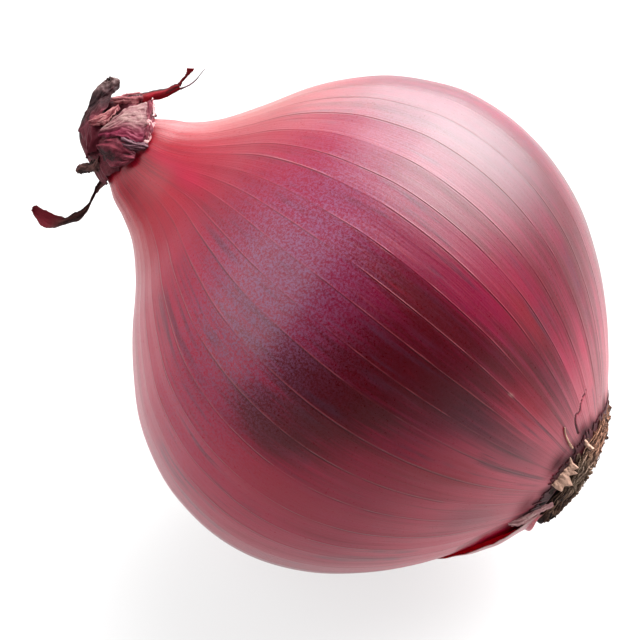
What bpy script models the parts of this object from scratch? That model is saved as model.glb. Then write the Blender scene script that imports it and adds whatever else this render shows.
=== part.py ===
"""A red onion lying on its side with its neck raised, resting on a small flat spot.

It grew as one piece, so it is one object for each colour that holds together: the red ribbed bulb
with the lip of outer skin that has lifted off beside its root end, the crumpled dry neck with its
leaf end, curls and strips, and the corky root plate with its root stubs and torn flakes.

Lengths are in metres. Points are given on the onion's own axes: along runs from the neck to the root
plate, across runs up the side that shows, and toward runs straight out of that side.
"""

import math
import random

import bmesh
import bpy
import numpy as np
from mathutils import Vector

MM = 0.001

# The way it lies.
AXIS_TILT = math.radians(26.8)
SHOW_ROLL = math.radians(46.0)
REST_FLAT_DEPTH = 0.8 * MM

# The bulb, as (along, radius, middle across) from the neck's hidden end to the edge of the root plate.
BULB_PROFILE = [
    (-1.6 * MM, 4.3 * MM, 0.0 * MM),
    (-0.5 * MM, 5.0 * MM, 0.0 * MM),
    (0.8 * MM, 6.1 * MM, 0.0 * MM),
    (2.5 * MM, 7.8 * MM, -0.1 * MM),
    (5.5 * MM, 9.4 * MM, 0.0 * MM),
    (9.0 * MM, 12.3 * MM, 0.45 * MM),
    (13.0 * MM, 17.4 * MM, 0.9 * MM),
    (17.0 * MM, 23.6 * MM, 0.8 * MM),
    (21.0 * MM, 28.5 * MM, 0.5 * MM),
    (26.0 * MM, 33.3 * MM, 0.0 * MM),
    (32.0 * MM, 36.9 * MM, -0.4 * MM),
    (38.0 * MM, 39.1 * MM, -0.6 * MM),
    (46.0 * MM, 39.9 * MM, -0.95 * MM),
    (54.0 * MM, 38.7 * MM, -1.15 * MM),
    (62.0 * MM, 35.4 * MM, -1.15 * MM),
    (69.0 * MM, 30.4 * MM, -1.1 * MM),
    (74.5 * MM, 25.0 * MM, -0.95 * MM),
    (79.0 * MM, 19.3 * MM, -0.65 * MM),
    (82.4 * MM, 14.3 * MM, -0.4 * MM),
    (84.7 * MM, 10.3 * MM, 0.0 * MM),
]
BULB_RINGS = 32
RIB_COUNT = 44
RIB_HEIGHT = 0.25 * MM
RIB_START = math.radians(2.4)
RIB_FADE = 6.0 * MM

# Clearance between neighbouring solids, and the thickness of dry skin in these solids.
GAP = 0.3 * MM
SHEET = 0.7 * MM

# The lifted lip of outer skin: (along, how far it stands off the bulb, turn of its torn edge).
LIP_STATIONS = [
    (74.6 * MM, -0.5 * MM, math.radians(-96)),
    (76.6 * MM, -0.1 * MM, math.radians(-90)),
    (78.0 * MM, 0.7 * MM, math.radians(-84)),
    (79.5 * MM, 1.5 * MM, math.radians(-76)),
    (81.2 * MM, 2.3 * MM, math.radians(-67)),
    (82.9 * MM, 2.6 * MM, math.radians(-59)),
    (84.3 * MM, 1.9 * MM, math.radians(-50)),
]
LIP_ROWS = 13
LIP_COLUMNS = 14
LIP_FAR_TURN = math.radians(-158)
LIP_FAR_LIFT = -0.6 * MM

# The crumpled dry neck: (along, centre across, radius across, radius toward) from skirt to crown.
CAP_STATIONS = [
    (1.2 * MM, 0.0 * MM, 7.4 * MM, 7.4 * MM),
    (0.1 * MM, 0.15 * MM, 7.1 * MM, 7.2 * MM),
    (-1.5 * MM, 1.0 * MM, 7.1 * MM, 6.9 * MM),
    (-3.1 * MM, 1.3 * MM, 6.5 * MM, 6.4 * MM),
    (-4.8 * MM, 1.2 * MM, 5.6 * MM, 5.5 * MM),
    (-6.5 * MM, 1.0 * MM, 4.4 * MM, 4.2 * MM),
    (-7.9 * MM, 1.1 * MM, 3.2 * MM, 3.0 * MM),
    (-8.8 * MM, 1.5 * MM, 2.1 * MM, 1.8 * MM),
    (-9.3 * MM, 1.9 * MM, 0.9 * MM, 0.8 * MM),
]
CAP_COLUMNS = 44
CAP_FRILL = 0.35 * MM

# Its lengthwise folds: (number round, depth as a share of the radius, start, twist).
CAP_FOLDS = [
    (5, 0.085, 0.4, 0.9),
    (9, 0.070, 1.7, -1.3),
    (14, 0.045, 0.2, 2.1),
]

# Strips of dry skin on the neck, each with its number of sections. Their stations, in millimetres
# and radians, are (along, across, toward, width, roll, cup): roll 0 shows a strip's whole width, and
# cup pushes its middle out of its own plane.
NECK_STRIPS = {
    "leaf_end": (10, [
        (-6.6, 1.2, 0.2, 4.2, 0.0, 0.4),
        (-7.9, 2.6, 0.7, 4.1, 0.05, 0.6),
        (-8.6, 4.2, 0.9, 3.6, 0.1, 0.7),
        (-8.85, 5.8, 0.7, 2.9, 0.15, 0.6),
        (-8.6, 7.3, 0.2, 1.9, 0.2, 0.4),
    ]),
    "rolled_fold": (8, [
        (-6.4, 3.2, 2.0, 1.4, 0.0, 0.3),
        (-5.5, 5.2, 2.9, 1.9, 0.2, 0.5),
        (-4.1, 6.9, 2.7, 1.9, 0.3, 0.5),
        (-2.5, 8.0, 1.6, 1.2, 0.4, 0.3),
    ]),
    "front_sheet": (9, [
        (-0.7, 6.9, 3.2, 2.6, 0.6, 0.2),
        (-1.0, 4.6, 5.7, 3.6, 0.25, 0.3),
        (-1.2, 2.0, 7.15, 4.4, 0.05, 0.3),
        (-2.0, -0.6, 6.9, 4.2, 0.0, 0.3),
        (-3.6, -2.6, 5.2, 2.6, -0.2, 0.2),
    ]),
    "lower_lobe": (8, [
        (-3.4, -3.6, 4.6, 2.0, -0.3, 0.3),
        (-1.6, -3.0, 6.2, 3.6, -0.3, 0.8),
        (0.0, -2.3, 7.2, 3.6, -0.2, 0.8),
        (1.2, -1.6, 7.6, 2.2, -0.1, 0.3),
    ]),
    "small_curl": (8, [
        (-3.7, -4.0, 1.8, 2.0, 0.0, 0.5),
        (-3.9, -5.3, 2.0, 1.9, 0.3, 0.6),
        (-4.2, -6.4, 1.5, 1.6, 0.2, 0.5),
        (-4.8, -7.5, 0.8, 1.3, 0.0, 0.3),
    ]),
    "brown_strip": (20, [
        (-1.3, -6.0, 0.2, 1.3, 0.0, 0.1),
        (-0.75, -7.2, 0.3, 1.1, 0.3, 0.1),
        (-0.5, -8.7, 0.6, 1.2, 0.9, 0.1),
        (-0.25, -10.6, 1.0, 1.2, 1.4, 0.1),
        (-0.6, -12.8, 1.0, 1.4, 0.5, 0.2),
        (-1.35, -14.4, 0.6, 1.5, 0.1, 0.3),
        (-2.7, -15.8, 0.1, 1.8, 0.0, 0.4),
        (-4.5, -16.6, -0.4, 2.4, 0.0, 0.5),
        (-6.3, -16.7, -0.7, 1.9, 0.0, 0.4),
        (-7.3, -16.4, -0.8, 0.9, 0.0, 0.2),
    ]),
    "crimson_strip": (14, [
        (-4.6, 5.8, 2.3, 1.2, 0.0, 0.1),
        (-3.6, 7.7, 2.2, 1.5, 0.1, 0.15),
        (-2.2, 8.9, 2.0, 1.7, 0.1, 0.2),
        (-0.9, 10.3, 2.0, 1.7, 0.2, 0.2),
        (-0.1, 11.5, 2.2, 1.6, 0.3, 0.15),
        (0.4, 12.7, 2.5, 1.3, 0.3, 0.1),
    ]),
    "upper_prong": (8, [
        (0.1, 12.0, 2.4, 0.8, 0.2, 0.05),
        (-0.1, 13.5, 2.9, 0.75, 0.2, 0.05),
        (0.0, 14.9, 3.3, 0.95, 0.3, 0.05),
        (0.6, 16.3, 3.7, 0.6, 0.3, 0.05),
    ]),
    "lower_prong": (8, [
        (0.4, 12.1, 2.4, 0.8, 0.2, 0.05),
        (1.5, 13.6, 2.2, 0.7, 0.3, 0.05),
        (1.85, 15.4, 1.9, 0.65, 0.3, 0.05),
        (1.95, 17.1, 1.6, 0.6, 0.3, 0.05),
    ]),
}

# The root plate: a corky dome of cut root stubs, off the bulb's own axis and thicker low down.
PLATE_CENTRE = 0.9 * MM
PLATE_RADIUS = 10.4 * MM
PLATE_SEAT = 83.6 * MM
PLATE_EDGE = 85.6 * MM
PLATE_RISE = 1.9 * MM
PLATE_LEAN = 0.07
PLATE_COLUMNS = 40
PLATE_RINGS = 6
SEAT_START = 78.0 * MM

# Its root stubs: how far they sink in, and the shortest and longest, the thinnest and thickest.
STUB_COUNT = 48
STUB_SIDES = 5
STUB_SEED = 11
STUB_SUNK = 0.8 * MM
STUB_LENGTH = (1.6 * MM, 2.5 * MM)
STUB_RADIUS = (0.55 * MM, 0.9 * MM)

# Torn flakes round the plate: (turn in degrees, along at its free end, width).
FLAKES = [
    (-9, 83.7 * MM, 5.2 * MM),
    (12, 81.3 * MM, 1.4 * MM),
    (36, 84.3 * MM, 2.6 * MM),
    (68, 84.7 * MM, 2.6 * MM),
    (103, 84.2 * MM, 3.2 * MM),
    (141, 82.9 * MM, 2.4 * MM),
    (172, 83.7 * MM, 4.0 * MM),
]

# Colours as linear red, green and blue, with the roughness of each finish.
FINISHES = {
    "bulb": ((0.27, 0.022, 0.045), 0.36),
    "dry_neck": ((0.17, 0.042, 0.052), 0.72),
    "root_plate": ((0.28, 0.165, 0.095), 0.90),
}

# The onion's own axes in the world.
ALONG = Vector((math.cos(AXIS_TILT), 0.0, -math.sin(AXIS_TILT)))
RAISED = Vector((math.sin(AXIS_TILT), 0.0, math.cos(AXIS_TILT)))
TOWARD = math.cos(SHOW_ROLL) * Vector((0.0, -1.0, 0.0)) + math.sin(SHOW_ROLL) * RAISED
ACROSS = TOWARD.cross(ALONG)


def smooth_line(points, count):
    """Samples a smooth curve through the points, evenly in the points' own numbering."""
    points = np.array(points, float)
    before = 2 * points[0] - points[1]
    after = 2 * points[-1] - points[-2]
    padded = np.vstack([before, points, after])
    samples = []
    for spot in np.linspace(0, len(points) - 1, count):
        start = min(int(spot), len(points) - 2)
        t = spot - start
        p0, p1, p2, p3 = padded[start : start + 4]
        bend = 2 * p0 - 5 * p1 + 4 * p2 - p3
        twist = 3 * p1 - p0 - 3 * p2 + p3
        samples.append(p1 + ((p2 - p0) * t + bend * t**2 + twist * t**3) / 2)
    return np.array(samples)


PROFILE_LINE = smooth_line(BULB_PROFILE, 600)
BULB_END = BULB_PROFILE[-1][0]


def bulb_radius(along):
    """Radius of the bulb's skin at a distance along its axis."""
    return float(np.interp(along, PROFILE_LINE[:, 0], PROFILE_LINE[:, 1]))


def bow(along):
    """How far the bulb's middle lies off its axis: the belly hangs a little below it."""
    return float(np.interp(along, PROFILE_LINE[:, 0], PROFILE_LINE[:, 2]))


def skin_point(along, turn, lift=0.0):
    """A point over the bulb's skin; turn 0 faces the show side and a quarter turn faces across."""
    radius = bulb_radius(along) + lift
    return (along, bow(along) + radius * math.sin(turn), radius * math.cos(turn))


def own_axes(point):
    """A point on the onion's own axes as a vector from the neck's reference point."""
    along, across, toward = point
    return ALONG * along + ACROSS * across + TOWARD * toward


def rest_offset():
    """Moves the onion so that the middle of its rest flat is the world's origin."""
    down_turn = math.atan2(-ACROSS.z, -TOWARD.z)
    rests = [own_axes(skin_point(along, down_turn)) for along in PROFILE_LINE[:, 0]]
    lowest = min(rests, key=lambda point: point.z)
    return -lowest - Vector((0.0, 0.0, REST_FLAT_DEPTH))


OFFSET = rest_offset()


def turns_round(count, start=0.0):
    """Evenly spaced turns round the axis."""
    return [start + 2 * math.pi * column / count for column in range(count)]


def add_object(name, bm):
    """Turns a bmesh into an object of that name."""
    mesh = bpy.data.meshes.new(name)
    bm.to_mesh(mesh)
    bm.free()
    made = bpy.data.objects.new(name, mesh)
    bpy.context.scene.collection.objects.link(made)
    return made


def lofted(name, rings, thin=False):
    """An object that joins closed rings of points on the onion's own axes, with both ends closed.

    A thin ring runs along one side of a sheet and back along the other, and is closed across it.
    """
    bm = bmesh.new()
    loops = [[bm.verts.new(own_axes(point) + OFFSET) for point in ring] for ring in rings]
    count = len(loops[0])
    for low, high in zip(loops, loops[1:]):
        for column in range(count):
            after = (column + 1) % count
            bm.faces.new((low[column], low[after], high[after], high[column]))
    for loop in (loops[0], loops[-1]):
        if thin:
            for column in range(count // 2 - 1):
                bm.faces.new((loop[column], loop[column + 1], loop[-column - 2], loop[-column - 1]))
            continue
        middle = bm.verts.new(sum((vert.co for vert in loop), Vector()) / count)
        for column in range(count):
            bm.faces.new((loop[column], loop[(column + 1) % count], middle))
    bmesh.ops.recalc_face_normals(bm, faces=bm.faces)
    return add_object(name, bm)


def apply_boolean(target, operation, others):
    """Joins the other objects to the target, or cuts them from it, and removes them."""
    group = bpy.data.collections.new("tools")
    for other in others:
        group.objects.link(other)
    step = target.modifiers.new(operation, "BOOLEAN")
    step.operation = operation
    step.operand_type = "COLLECTION"
    step.collection = group
    bpy.context.view_layer.update()
    shape = target.evaluated_get(bpy.context.evaluated_depsgraph_get())
    mesh = bpy.data.meshes.new_from_object(shape)
    target.modifiers.clear()
    target.data = mesh
    for other in others:
        bpy.data.objects.remove(other)
    bpy.data.collections.remove(group)


def dress(made, crease):
    """Smooth shading broken at creases, and the node's own material."""
    colour, roughness = FINISHES[made.name]
    material = bpy.data.materials.new(made.name)
    material.use_nodes = True
    shader = material.node_tree.nodes["Principled BSDF"]
    shader.inputs["Base Color"].default_value = (*colour, 1.0)
    shader.inputs["Roughness"].default_value = roughness
    shader.inputs["Metallic"].default_value = 0.0
    made.data.shade_smooth()
    made.data.set_sharp_from_angle(angle=math.radians(crease))
    made.data.materials.clear()
    made.data.materials.append(material)


def sheet_ring(edge, half, top, bottom, crest):
    """One thin section: two edges, and a middle that rises by the crest."""
    return [
        edge - half + top,
        edge + crest + top,
        edge + half + top,
        edge + half - bottom,
        edge + crest - bottom,
        edge - half - bottom,
    ]


def strip_rings(stations, count):
    """Sections of a curling strip of dry skin, through stations as NECK_STRIPS gives them."""
    sized = [(*(value * MM for value in row[:4]), row[4], row[5] * MM) for row in stations]
    samples = smooth_line(sized, count)
    centres = samples[:, :3]
    rings = []
    for index, (width, roll, cup) in enumerate(samples[:, 3:]):
        ahead = centres[min(index + 1, count - 1)] - centres[max(index - 1, 0)]
        ahead = Vector(ahead).normalized()
        side = ahead.cross(Vector((0.0, 0.0, 1.0))).normalized()
        face = side.cross(ahead).normalized()
        wide = side * math.cos(roll) + face * math.sin(roll)
        out = face * math.cos(roll) - side * math.sin(roll)
        skin = out * (SHEET / 2)
        rings.append(sheet_ring(Vector(centres[index]), wide * (width / 2), skin, skin, out * cup))
    return rings


def build_lip():
    """The lip of outer skin: sunk in the bulb on three sides, and off it at its torn edge."""
    rings = []
    for along, lift, torn_turn in smooth_line(LIP_STATIONS, LIP_ROWS):
        outer = []
        inner = []
        for share in np.linspace(0, 1, LIP_COLUMNS):
            turn = LIP_FAR_TURN + (torn_turn - LIP_FAR_TURN) * share
            climb = min(1.0, 1.05 * math.sin(0.5 * math.pi * share))
            rise = LIP_FAR_LIFT + (lift - LIP_FAR_LIFT) * climb
            outer.append(skin_point(along, turn, rise))
            inner.append(skin_point(along, turn, rise - SHEET))
        rings.append(outer + inner[::-1])
    return lofted("lip", rings, thin=True)


def cut_rest_flat(made):
    """Cuts an object off at the floor and closes the cut with one flat face."""
    bm = bmesh.new()
    bm.from_mesh(made.data)
    cut = bmesh.ops.bisect_plane(
        bm,
        geom=bm.verts[:] + bm.edges[:] + bm.faces[:],
        plane_co=(0, 0, 0),
        plane_no=(0, 0, -1),
        clear_outer=True,
    )
    rim = [item for item in cut["geom_cut"] if isinstance(item, bmesh.types.BMEdge)]
    bmesh.ops.edgeloop_fill(bm, edges=rim)
    bmesh.ops.recalc_face_normals(bm, faces=bm.faces)
    bm.to_mesh(made.data)
    bm.free()


def build_bulb():
    """The bulb with its rounded ribs and lifted lip of skin, cut flat where it rests."""
    steps = np.diff(PROFILE_LINE[:, :2], axis=0)
    travelled = np.concatenate([[0.0], np.cumsum(np.hypot(steps[:, 0], steps[:, 1]))])
    alongs = np.interp(np.linspace(0, travelled[-1], BULB_RINGS), travelled, PROFILE_LINE[:, 0])
    rings = []
    for along in alongs:
        fade = min(1.0, (along - alongs[0]) / RIB_FADE, (BULB_END - along) / RIB_FADE)
        ring = []
        for column, turn in enumerate(turns_round(2 * RIB_COUNT, RIB_START)):
            rib = RIB_HEIGHT * max(0.0, fade) * (1 - column % 2)
            ring.append(skin_point(along, turn, rib))
        rings.append(ring)
    bulb = lofted("bulb", rings)
    apply_boolean(bulb, "UNION", [build_lip()])
    cut_rest_flat(bulb)
    dress(bulb, 40)


def build_cap():
    """The crumpled body of the dry neck, hollow where it fits over the bulb's neck."""
    skirt = CAP_STATIONS[0][0]
    hollow_top = BULB_PROFILE[0][0] - GAP
    rings = []
    for along in (hollow_top, -0.5 * MM, 0.2 * MM, skirt - GAP):
        rings.append([skin_point(along, turn, GAP + RIB_HEIGHT) for turn in turns_round(CAP_COLUMNS)])
    for along, centre, wide, deep in CAP_STATIONS:
        height = (skirt - along) / (skirt - CAP_STATIONS[-1][0])
        ring = []
        for turn in turns_round(CAP_COLUMNS):
            fold = 1.0
            for waves, depth, start, twist in CAP_FOLDS:
                fold += depth * (0.12 + height) * math.sin(waves * turn + start + 3 * twist * height)
            frill = CAP_FRILL * math.sin(3 * turn + 1) * (1 - height)
            across = centre + wide * fold * math.sin(turn)
            ring.append((along + frill, across, deep * fold * math.cos(turn)))
        rings.append(ring)
    return lofted("dry_neck", rings)


def build_dry_neck():
    """The dry neck: its crumpled cap with every strip of dry skin joined to it."""
    neck = build_cap()
    strips = []
    for name, (count, stations) in NECK_STRIPS.items():
        strips.append(lofted(name, strip_rings(stations, count), thin=True))
    apply_boolean(neck, "UNION", strips)
    dress(neck, 30)


def plate_rim(turn):
    """Radius of the plate's ragged rim."""
    return PLATE_RADIUS * (1 + 0.03 * math.sin(4 * turn + 0.6) + 0.025 * math.sin(9 * turn))


def plate_point(share, turn):
    """A point on the dome's outer face, at a share of the way from its middle to its rim."""
    radius = share * plate_rim(turn)
    ridges = 0.3 * MM * math.sin(5 * turn + 9 * share) + 0.2 * MM * math.sin(11 * turn - 6 * share)
    across = PLATE_CENTRE + radius * math.sin(turn)
    dome = PLATE_EDGE + PLATE_RISE * (1 - share**2.6) - PLATE_LEAN * across
    return (dome + ridges * share * (1.5 - share), across, radius * math.cos(turn))


def build_stub(index, rng):
    """One cut root, sunk into the dome and pressed over, mostly outward."""
    share = 0.88 * math.sqrt((index + 0.5) / STUB_COUNT)
    turn = index * math.pi * (3 - math.sqrt(5))
    splay = 0.35 + 0.8 * share + rng.uniform(-0.2, 0.2)
    way = turn + rng.uniform(-0.9, 0.9)
    outward = math.sin(splay)
    lead = Vector((math.cos(splay), outward * math.sin(way), outward * math.cos(way)))
    side = lead.cross(Vector((0.0, 0.0, 1.0))).normalized()
    face = side.cross(lead)
    foot = Vector(plate_point(share, turn)) - Vector((STUB_SUNK, 0.0, 0.0))
    tall = rng.uniform(*STUB_LENGTH)
    thick = rng.uniform(*STUB_RADIUS)
    rings = []
    for step, width in ((0.0, 1.15), (0.55, 0.9), (1.0, 0.55)):
        middle = foot + lead * tall * step
        ring = []
        for angle in turns_round(STUB_SIDES):
            ring.append(middle + (side * math.cos(angle) + face * math.sin(angle)) * thick * width)
        rings.append(ring)
    return lofted(f"stub_{index}", rings)


def build_flake(turn_degrees, free_end, width):
    """One torn flake: its foot sunk in the plate's rim, its tapered end over the bulb's skin."""
    turn = math.radians(turn_degrees)
    out = Vector((0.0, math.sin(turn), math.cos(turn)))
    round_way = Vector((0.0, math.cos(turn), -math.sin(turn)))
    skin = out * (SHEET / 2)
    foot = PLATE_EDGE - GAP
    rings = []
    for share, taper in ((0.0, 0.8), (0.1, 1.0), (0.6, 0.9), (1.0, 0.35)):
        along = foot + (free_end - PLATE_EDGE) * share
        over_skin = bulb_radius(min(along, BULB_END)) + GAP + RIB_HEIGHT + 0.6 * SHEET
        radius = over_skin + 0.5 * MM * share if share else 0.88 * PLATE_RADIUS
        middle = Vector((along, bow(along), 0.0)) + out * radius
        rings.append(sheet_ring(middle, round_way * (width * taper / 2), skin, skin, skin * 0.3))
    return lofted(f"flake_{turn_degrees}", rings, thin=True)


def build_seat():
    """The root end of the bulb grown by a clearance, to cut the plate's seat."""
    rings = []
    for along in np.linspace(SEAT_START, BULB_END, 9):
        turns = turns_round(2 * RIB_COUNT, RIB_START)
        rings.append([skin_point(along, turn, GAP + RIB_HEIGHT) for turn in turns])
    rings.append([(BULB_END + GAP, across, toward) for _, across, toward in rings[-1]])
    return lofted("seat", rings)


def build_root_plate():
    """The corky plate with its root stubs and torn flakes, seated on the bulb's root end."""
    turns = turns_round(PLATE_COLUMNS)
    under = ((PLATE_SEAT + 2 * GAP, 0.5), (PLATE_SEAT, 0.93), (PLATE_SEAT + 3 * GAP, 1.0))
    rings = []
    for along, share in under:
        ring = []
        for turn in turns:
            radius = share * plate_rim(turn)
            ring.append((along, PLATE_CENTRE + radius * math.sin(turn), radius * math.cos(turn)))
        rings.append(ring)
    for share in np.linspace(1.0, 0.16, PLATE_RINGS):
        rings.append([plate_point(share, turn) for turn in turns])
    plate = lofted("root_plate", rings)
    rng = random.Random(STUB_SEED)
    pieces = [build_stub(index, rng) for index in range(STUB_COUNT)]
    pieces += [build_flake(*flake) for flake in FLAKES]
    apply_boolean(plate, "UNION", pieces)
    apply_boolean(plate, "DIFFERENCE", [build_seat()])
    dress(plate, 30)


def main():
    """Clears the scene and builds the onion."""
    for old in list(bpy.data.objects):
        bpy.data.objects.remove(old)
    build_bulb()
    build_dry_neck()
    build_root_plate()


main()
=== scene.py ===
"""A red onion on a pale floor: skin, lifted lip, dry neck and root plate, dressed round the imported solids.

Sizes are in millimetres unless a name says otherwise. Points are given on the onion's own axes: along
runs from the neck to the root plate, across runs up the side that shows, and toward runs straight out
of that side. A turn is an angle round the axis, 0 on the side that shows and a quarter turn across.
"""

import logging
import math
from collections.abc import Callable, Sequence
from dataclasses import dataclass, field
from enum import Enum

import bpy
import numpy as np
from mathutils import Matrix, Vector, noise


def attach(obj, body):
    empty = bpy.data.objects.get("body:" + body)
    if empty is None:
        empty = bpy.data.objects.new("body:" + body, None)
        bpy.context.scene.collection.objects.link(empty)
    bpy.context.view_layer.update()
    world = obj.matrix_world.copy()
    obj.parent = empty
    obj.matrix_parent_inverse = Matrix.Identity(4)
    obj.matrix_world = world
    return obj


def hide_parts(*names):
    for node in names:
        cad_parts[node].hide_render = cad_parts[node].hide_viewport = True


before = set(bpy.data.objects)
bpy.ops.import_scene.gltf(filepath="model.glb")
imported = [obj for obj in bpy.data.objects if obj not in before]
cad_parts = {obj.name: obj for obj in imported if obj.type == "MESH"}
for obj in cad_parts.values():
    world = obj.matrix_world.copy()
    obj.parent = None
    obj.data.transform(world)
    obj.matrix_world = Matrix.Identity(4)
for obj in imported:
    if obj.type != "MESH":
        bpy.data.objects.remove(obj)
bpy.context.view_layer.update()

LOG = logging.getLogger("onion")
MM = 0.001
BODY = "root"

Colour = tuple[float, float, float]
Station = tuple[float, ...]
Piece = bpy.types.Object
Material = bpy.types.Material
Socket = bpy.types.NodeSocket
Value = Socket | float | tuple

VEIN_COUNT = 44
# The camera's distance from the onion's middle, and the middle of its view.
VIEW_DISTANCE = 650.0
VIEW_MIDDLE = (39.66, -4.09, 0.0)


class Part(Enum):
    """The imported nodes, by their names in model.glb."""

    BULB = "bulb"
    NECK = "dry_neck"
    ROOT = "root_plate"


class Streak(Enum):
    """Which way the marks on a sheet of dry skin run."""

    LENGTHWISE = "lengthwise"
    FANNED = "fanned"
    MOTTLED = "mottled"


# ---------------------------------------------------------------- shapes


def smooth_line(points: Sequence[Station], count: int) -> np.ndarray:
    """Samples a smooth curve through the points.

    Args:
        points: the stations, all of one length.
        count: how many samples to take, evenly in the points' own numbering.

    Returns:
        An array with one row for each sample.
    """
    line = np.array(points, float)
    padded = np.vstack([2 * line[0] - line[1], line, 2 * line[-1] - line[-2]])
    spots = np.linspace(0, len(line) - 1, count)
    starts = np.minimum(spots.astype(int), len(line) - 2)
    t = (spots - starts)[:, None]
    p0, p1, p2, p3 = (padded[starts + step] for step in range(4))
    bend = 2 * p0 - 5 * p1 + 4 * p2 - p3
    twist = 3 * p1 - p0 - 3 * p2 + p3
    return p1 + ((p2 - p0) * t + bend * t**2 + twist * t**3) / 2


def ease(value: np.ndarray, start: float, end: float) -> np.ndarray:
    """Rises smoothly from 0 at start to 1 at end, or falls where end is the lower."""
    share = np.clip((value - start) / (end - start), 0.0, 1.0)
    return share * share * (3 - 2 * share)


def mound(x: np.ndarray, y: np.ndarray, middle: Station, size: Station) -> np.ndarray:
    """A soft round mound of height 1 over two coordinates."""
    return np.exp(-(((x - middle[0]) / size[0]) ** 2) - ((y - middle[1]) / size[1]) ** 2)


def full_turn(count: int) -> np.ndarray:
    """Evenly spaced turns round the axis."""
    return np.arange(count) * 2 * math.pi / count


def degrees_of(turn: np.ndarray) -> np.ndarray:
    """Turns as degrees from -180 to 180."""
    return np.degrees((turn + math.pi) % (2 * math.pi) - math.pi)


def unit(ways: np.ndarray) -> np.ndarray:
    """Directions brought to a length of 1."""
    return ways / (np.linalg.norm(ways, axis=-1, keepdims=True) + 1e-9)


def between(first: np.ndarray, second: np.ndarray, share: np.ndarray) -> np.ndarray:
    """A grid of points from one line over to another."""
    over = share[None, :, None]
    return first[:, None] * (1 - over) + second[:, None] * over


def noise_over(first: np.ndarray, second: np.ndarray, scale: float, level: float) -> np.ndarray:
    """Soft noise about 0 over pairs of coordinates."""
    return np.array([noise.noise(Vector((x * scale, y * scale, level))) for x, y in zip(first, second)])


@dataclass(frozen=True)
class OwnAxes:
    """Where the onion's own axes lie in the frame, which is how it lies on its flat spot."""

    tilt: float = math.radians(26.8)
    roll: float = math.radians(46.0)
    rest_flat: float = 0.8

    @property
    def along(self) -> np.ndarray:
        """The axis from neck to root plate."""
        return np.array([math.cos(self.tilt), 0.0, -math.sin(self.tilt)])

    @property
    def toward(self) -> np.ndarray:
        """Straight out of the side that shows."""
        raised = np.array([math.sin(self.tilt), 0.0, math.cos(self.tilt)])
        return math.cos(self.roll) * np.array([0.0, -1.0, 0.0]) + math.sin(self.roll) * raised

    @property
    def across(self) -> np.ndarray:
        """Up the side that shows."""
        return np.cross(self.toward, self.along)

    def turned(self, points: np.ndarray) -> np.ndarray:
        """Own-axes points as frame directions, still in millimetres."""
        return points @ np.stack([self.along, self.across, self.toward])


@dataclass(frozen=True)
class BulbForm:
    """The turned form of the bulb, as (along, radius, middle across)."""

    axes: OwnAxes = OwnAxes()
    profile: tuple[Station, ...] = (
        (-1.6, 4.7, 0.0), (-0.5, 5.7, 0.0), (0.8, 6.6, 0.0), (2.5, 7.8, -0.1), (5.5, 9.4, 0.0),
        (9.0, 12.3, 0.45), (13.0, 17.4, 0.9), (17.0, 23.6, 0.8), (21.0, 28.5, 0.5),
        (26.0, 33.3, 0.0), (32.0, 36.9, -0.4), (38.0, 39.1, -0.6), (46.0, 39.9, -0.95),
        (54.0, 38.7, -1.15), (62.0, 35.4, -1.15), (69.0, 30.4, -1.1), (74.5, 25.0, -0.95),
        (79.0, 19.3, -0.65), (82.4, 14.3, -0.4), (84.7, 10.3, 0.0),
    )
    line: np.ndarray = field(init=False)
    offset: np.ndarray = field(init=False)

    def __post_init__(self) -> None:
        """Samples the profile and finds the offset that puts the rest spot at the origin."""
        object.__setattr__(self, "line", smooth_line(self.profile, 600))
        down = math.atan2(-self.axes.across[2], -self.axes.toward[2])
        alongs = self.line[:, 0]
        under = self.axes.turned(self.skin(alongs, np.full(len(alongs), down), 0.0))
        lowest = under[np.argmin(under[:, 2])]
        object.__setattr__(self, "offset", -lowest - np.array([0.0, 0.0, self.axes.rest_flat]))

    @property
    def start(self) -> float:
        """Where the bulb starts, inside its dry neck."""
        return self.profile[0][0]

    @property
    def end(self) -> float:
        """Where the bulb ends, under its root plate."""
        return self.profile[-1][0]

    def radius(self, along: np.ndarray | float) -> np.ndarray:
        """Radius of the skin at a distance along."""
        return np.interp(along, self.line[:, 0], self.line[:, 1])

    def bow(self, along: np.ndarray | float) -> np.ndarray:
        """How far the middle lies off the axis."""
        return np.interp(along, self.line[:, 0], self.line[:, 2])

    def skin(self, along: np.ndarray, turn: np.ndarray, lift: np.ndarray | float) -> np.ndarray:
        """Own-axes points over the skin.

        Args:
            along: distances along the axis.
            turn: turns round it, of the same shape.
            lift: height over the skin.

        Returns:
            The points, in an array with one more dimension of 3.
        """
        radius = self.radius(along) + lift
        across = self.bow(along) + radius * np.sin(turn)
        return np.stack([along, across, radius * np.cos(turn)], axis=-1)

    def place(self, points: np.ndarray) -> np.ndarray:
        """Own-axes points in the frame, in metres, none of them under the floor."""
        placed = (self.axes.turned(np.asarray(points, float)) + self.offset) * MM
        placed[..., 2] = np.maximum(placed[..., 2], 0.0)
        return placed


FORM = BulbForm()


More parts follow.
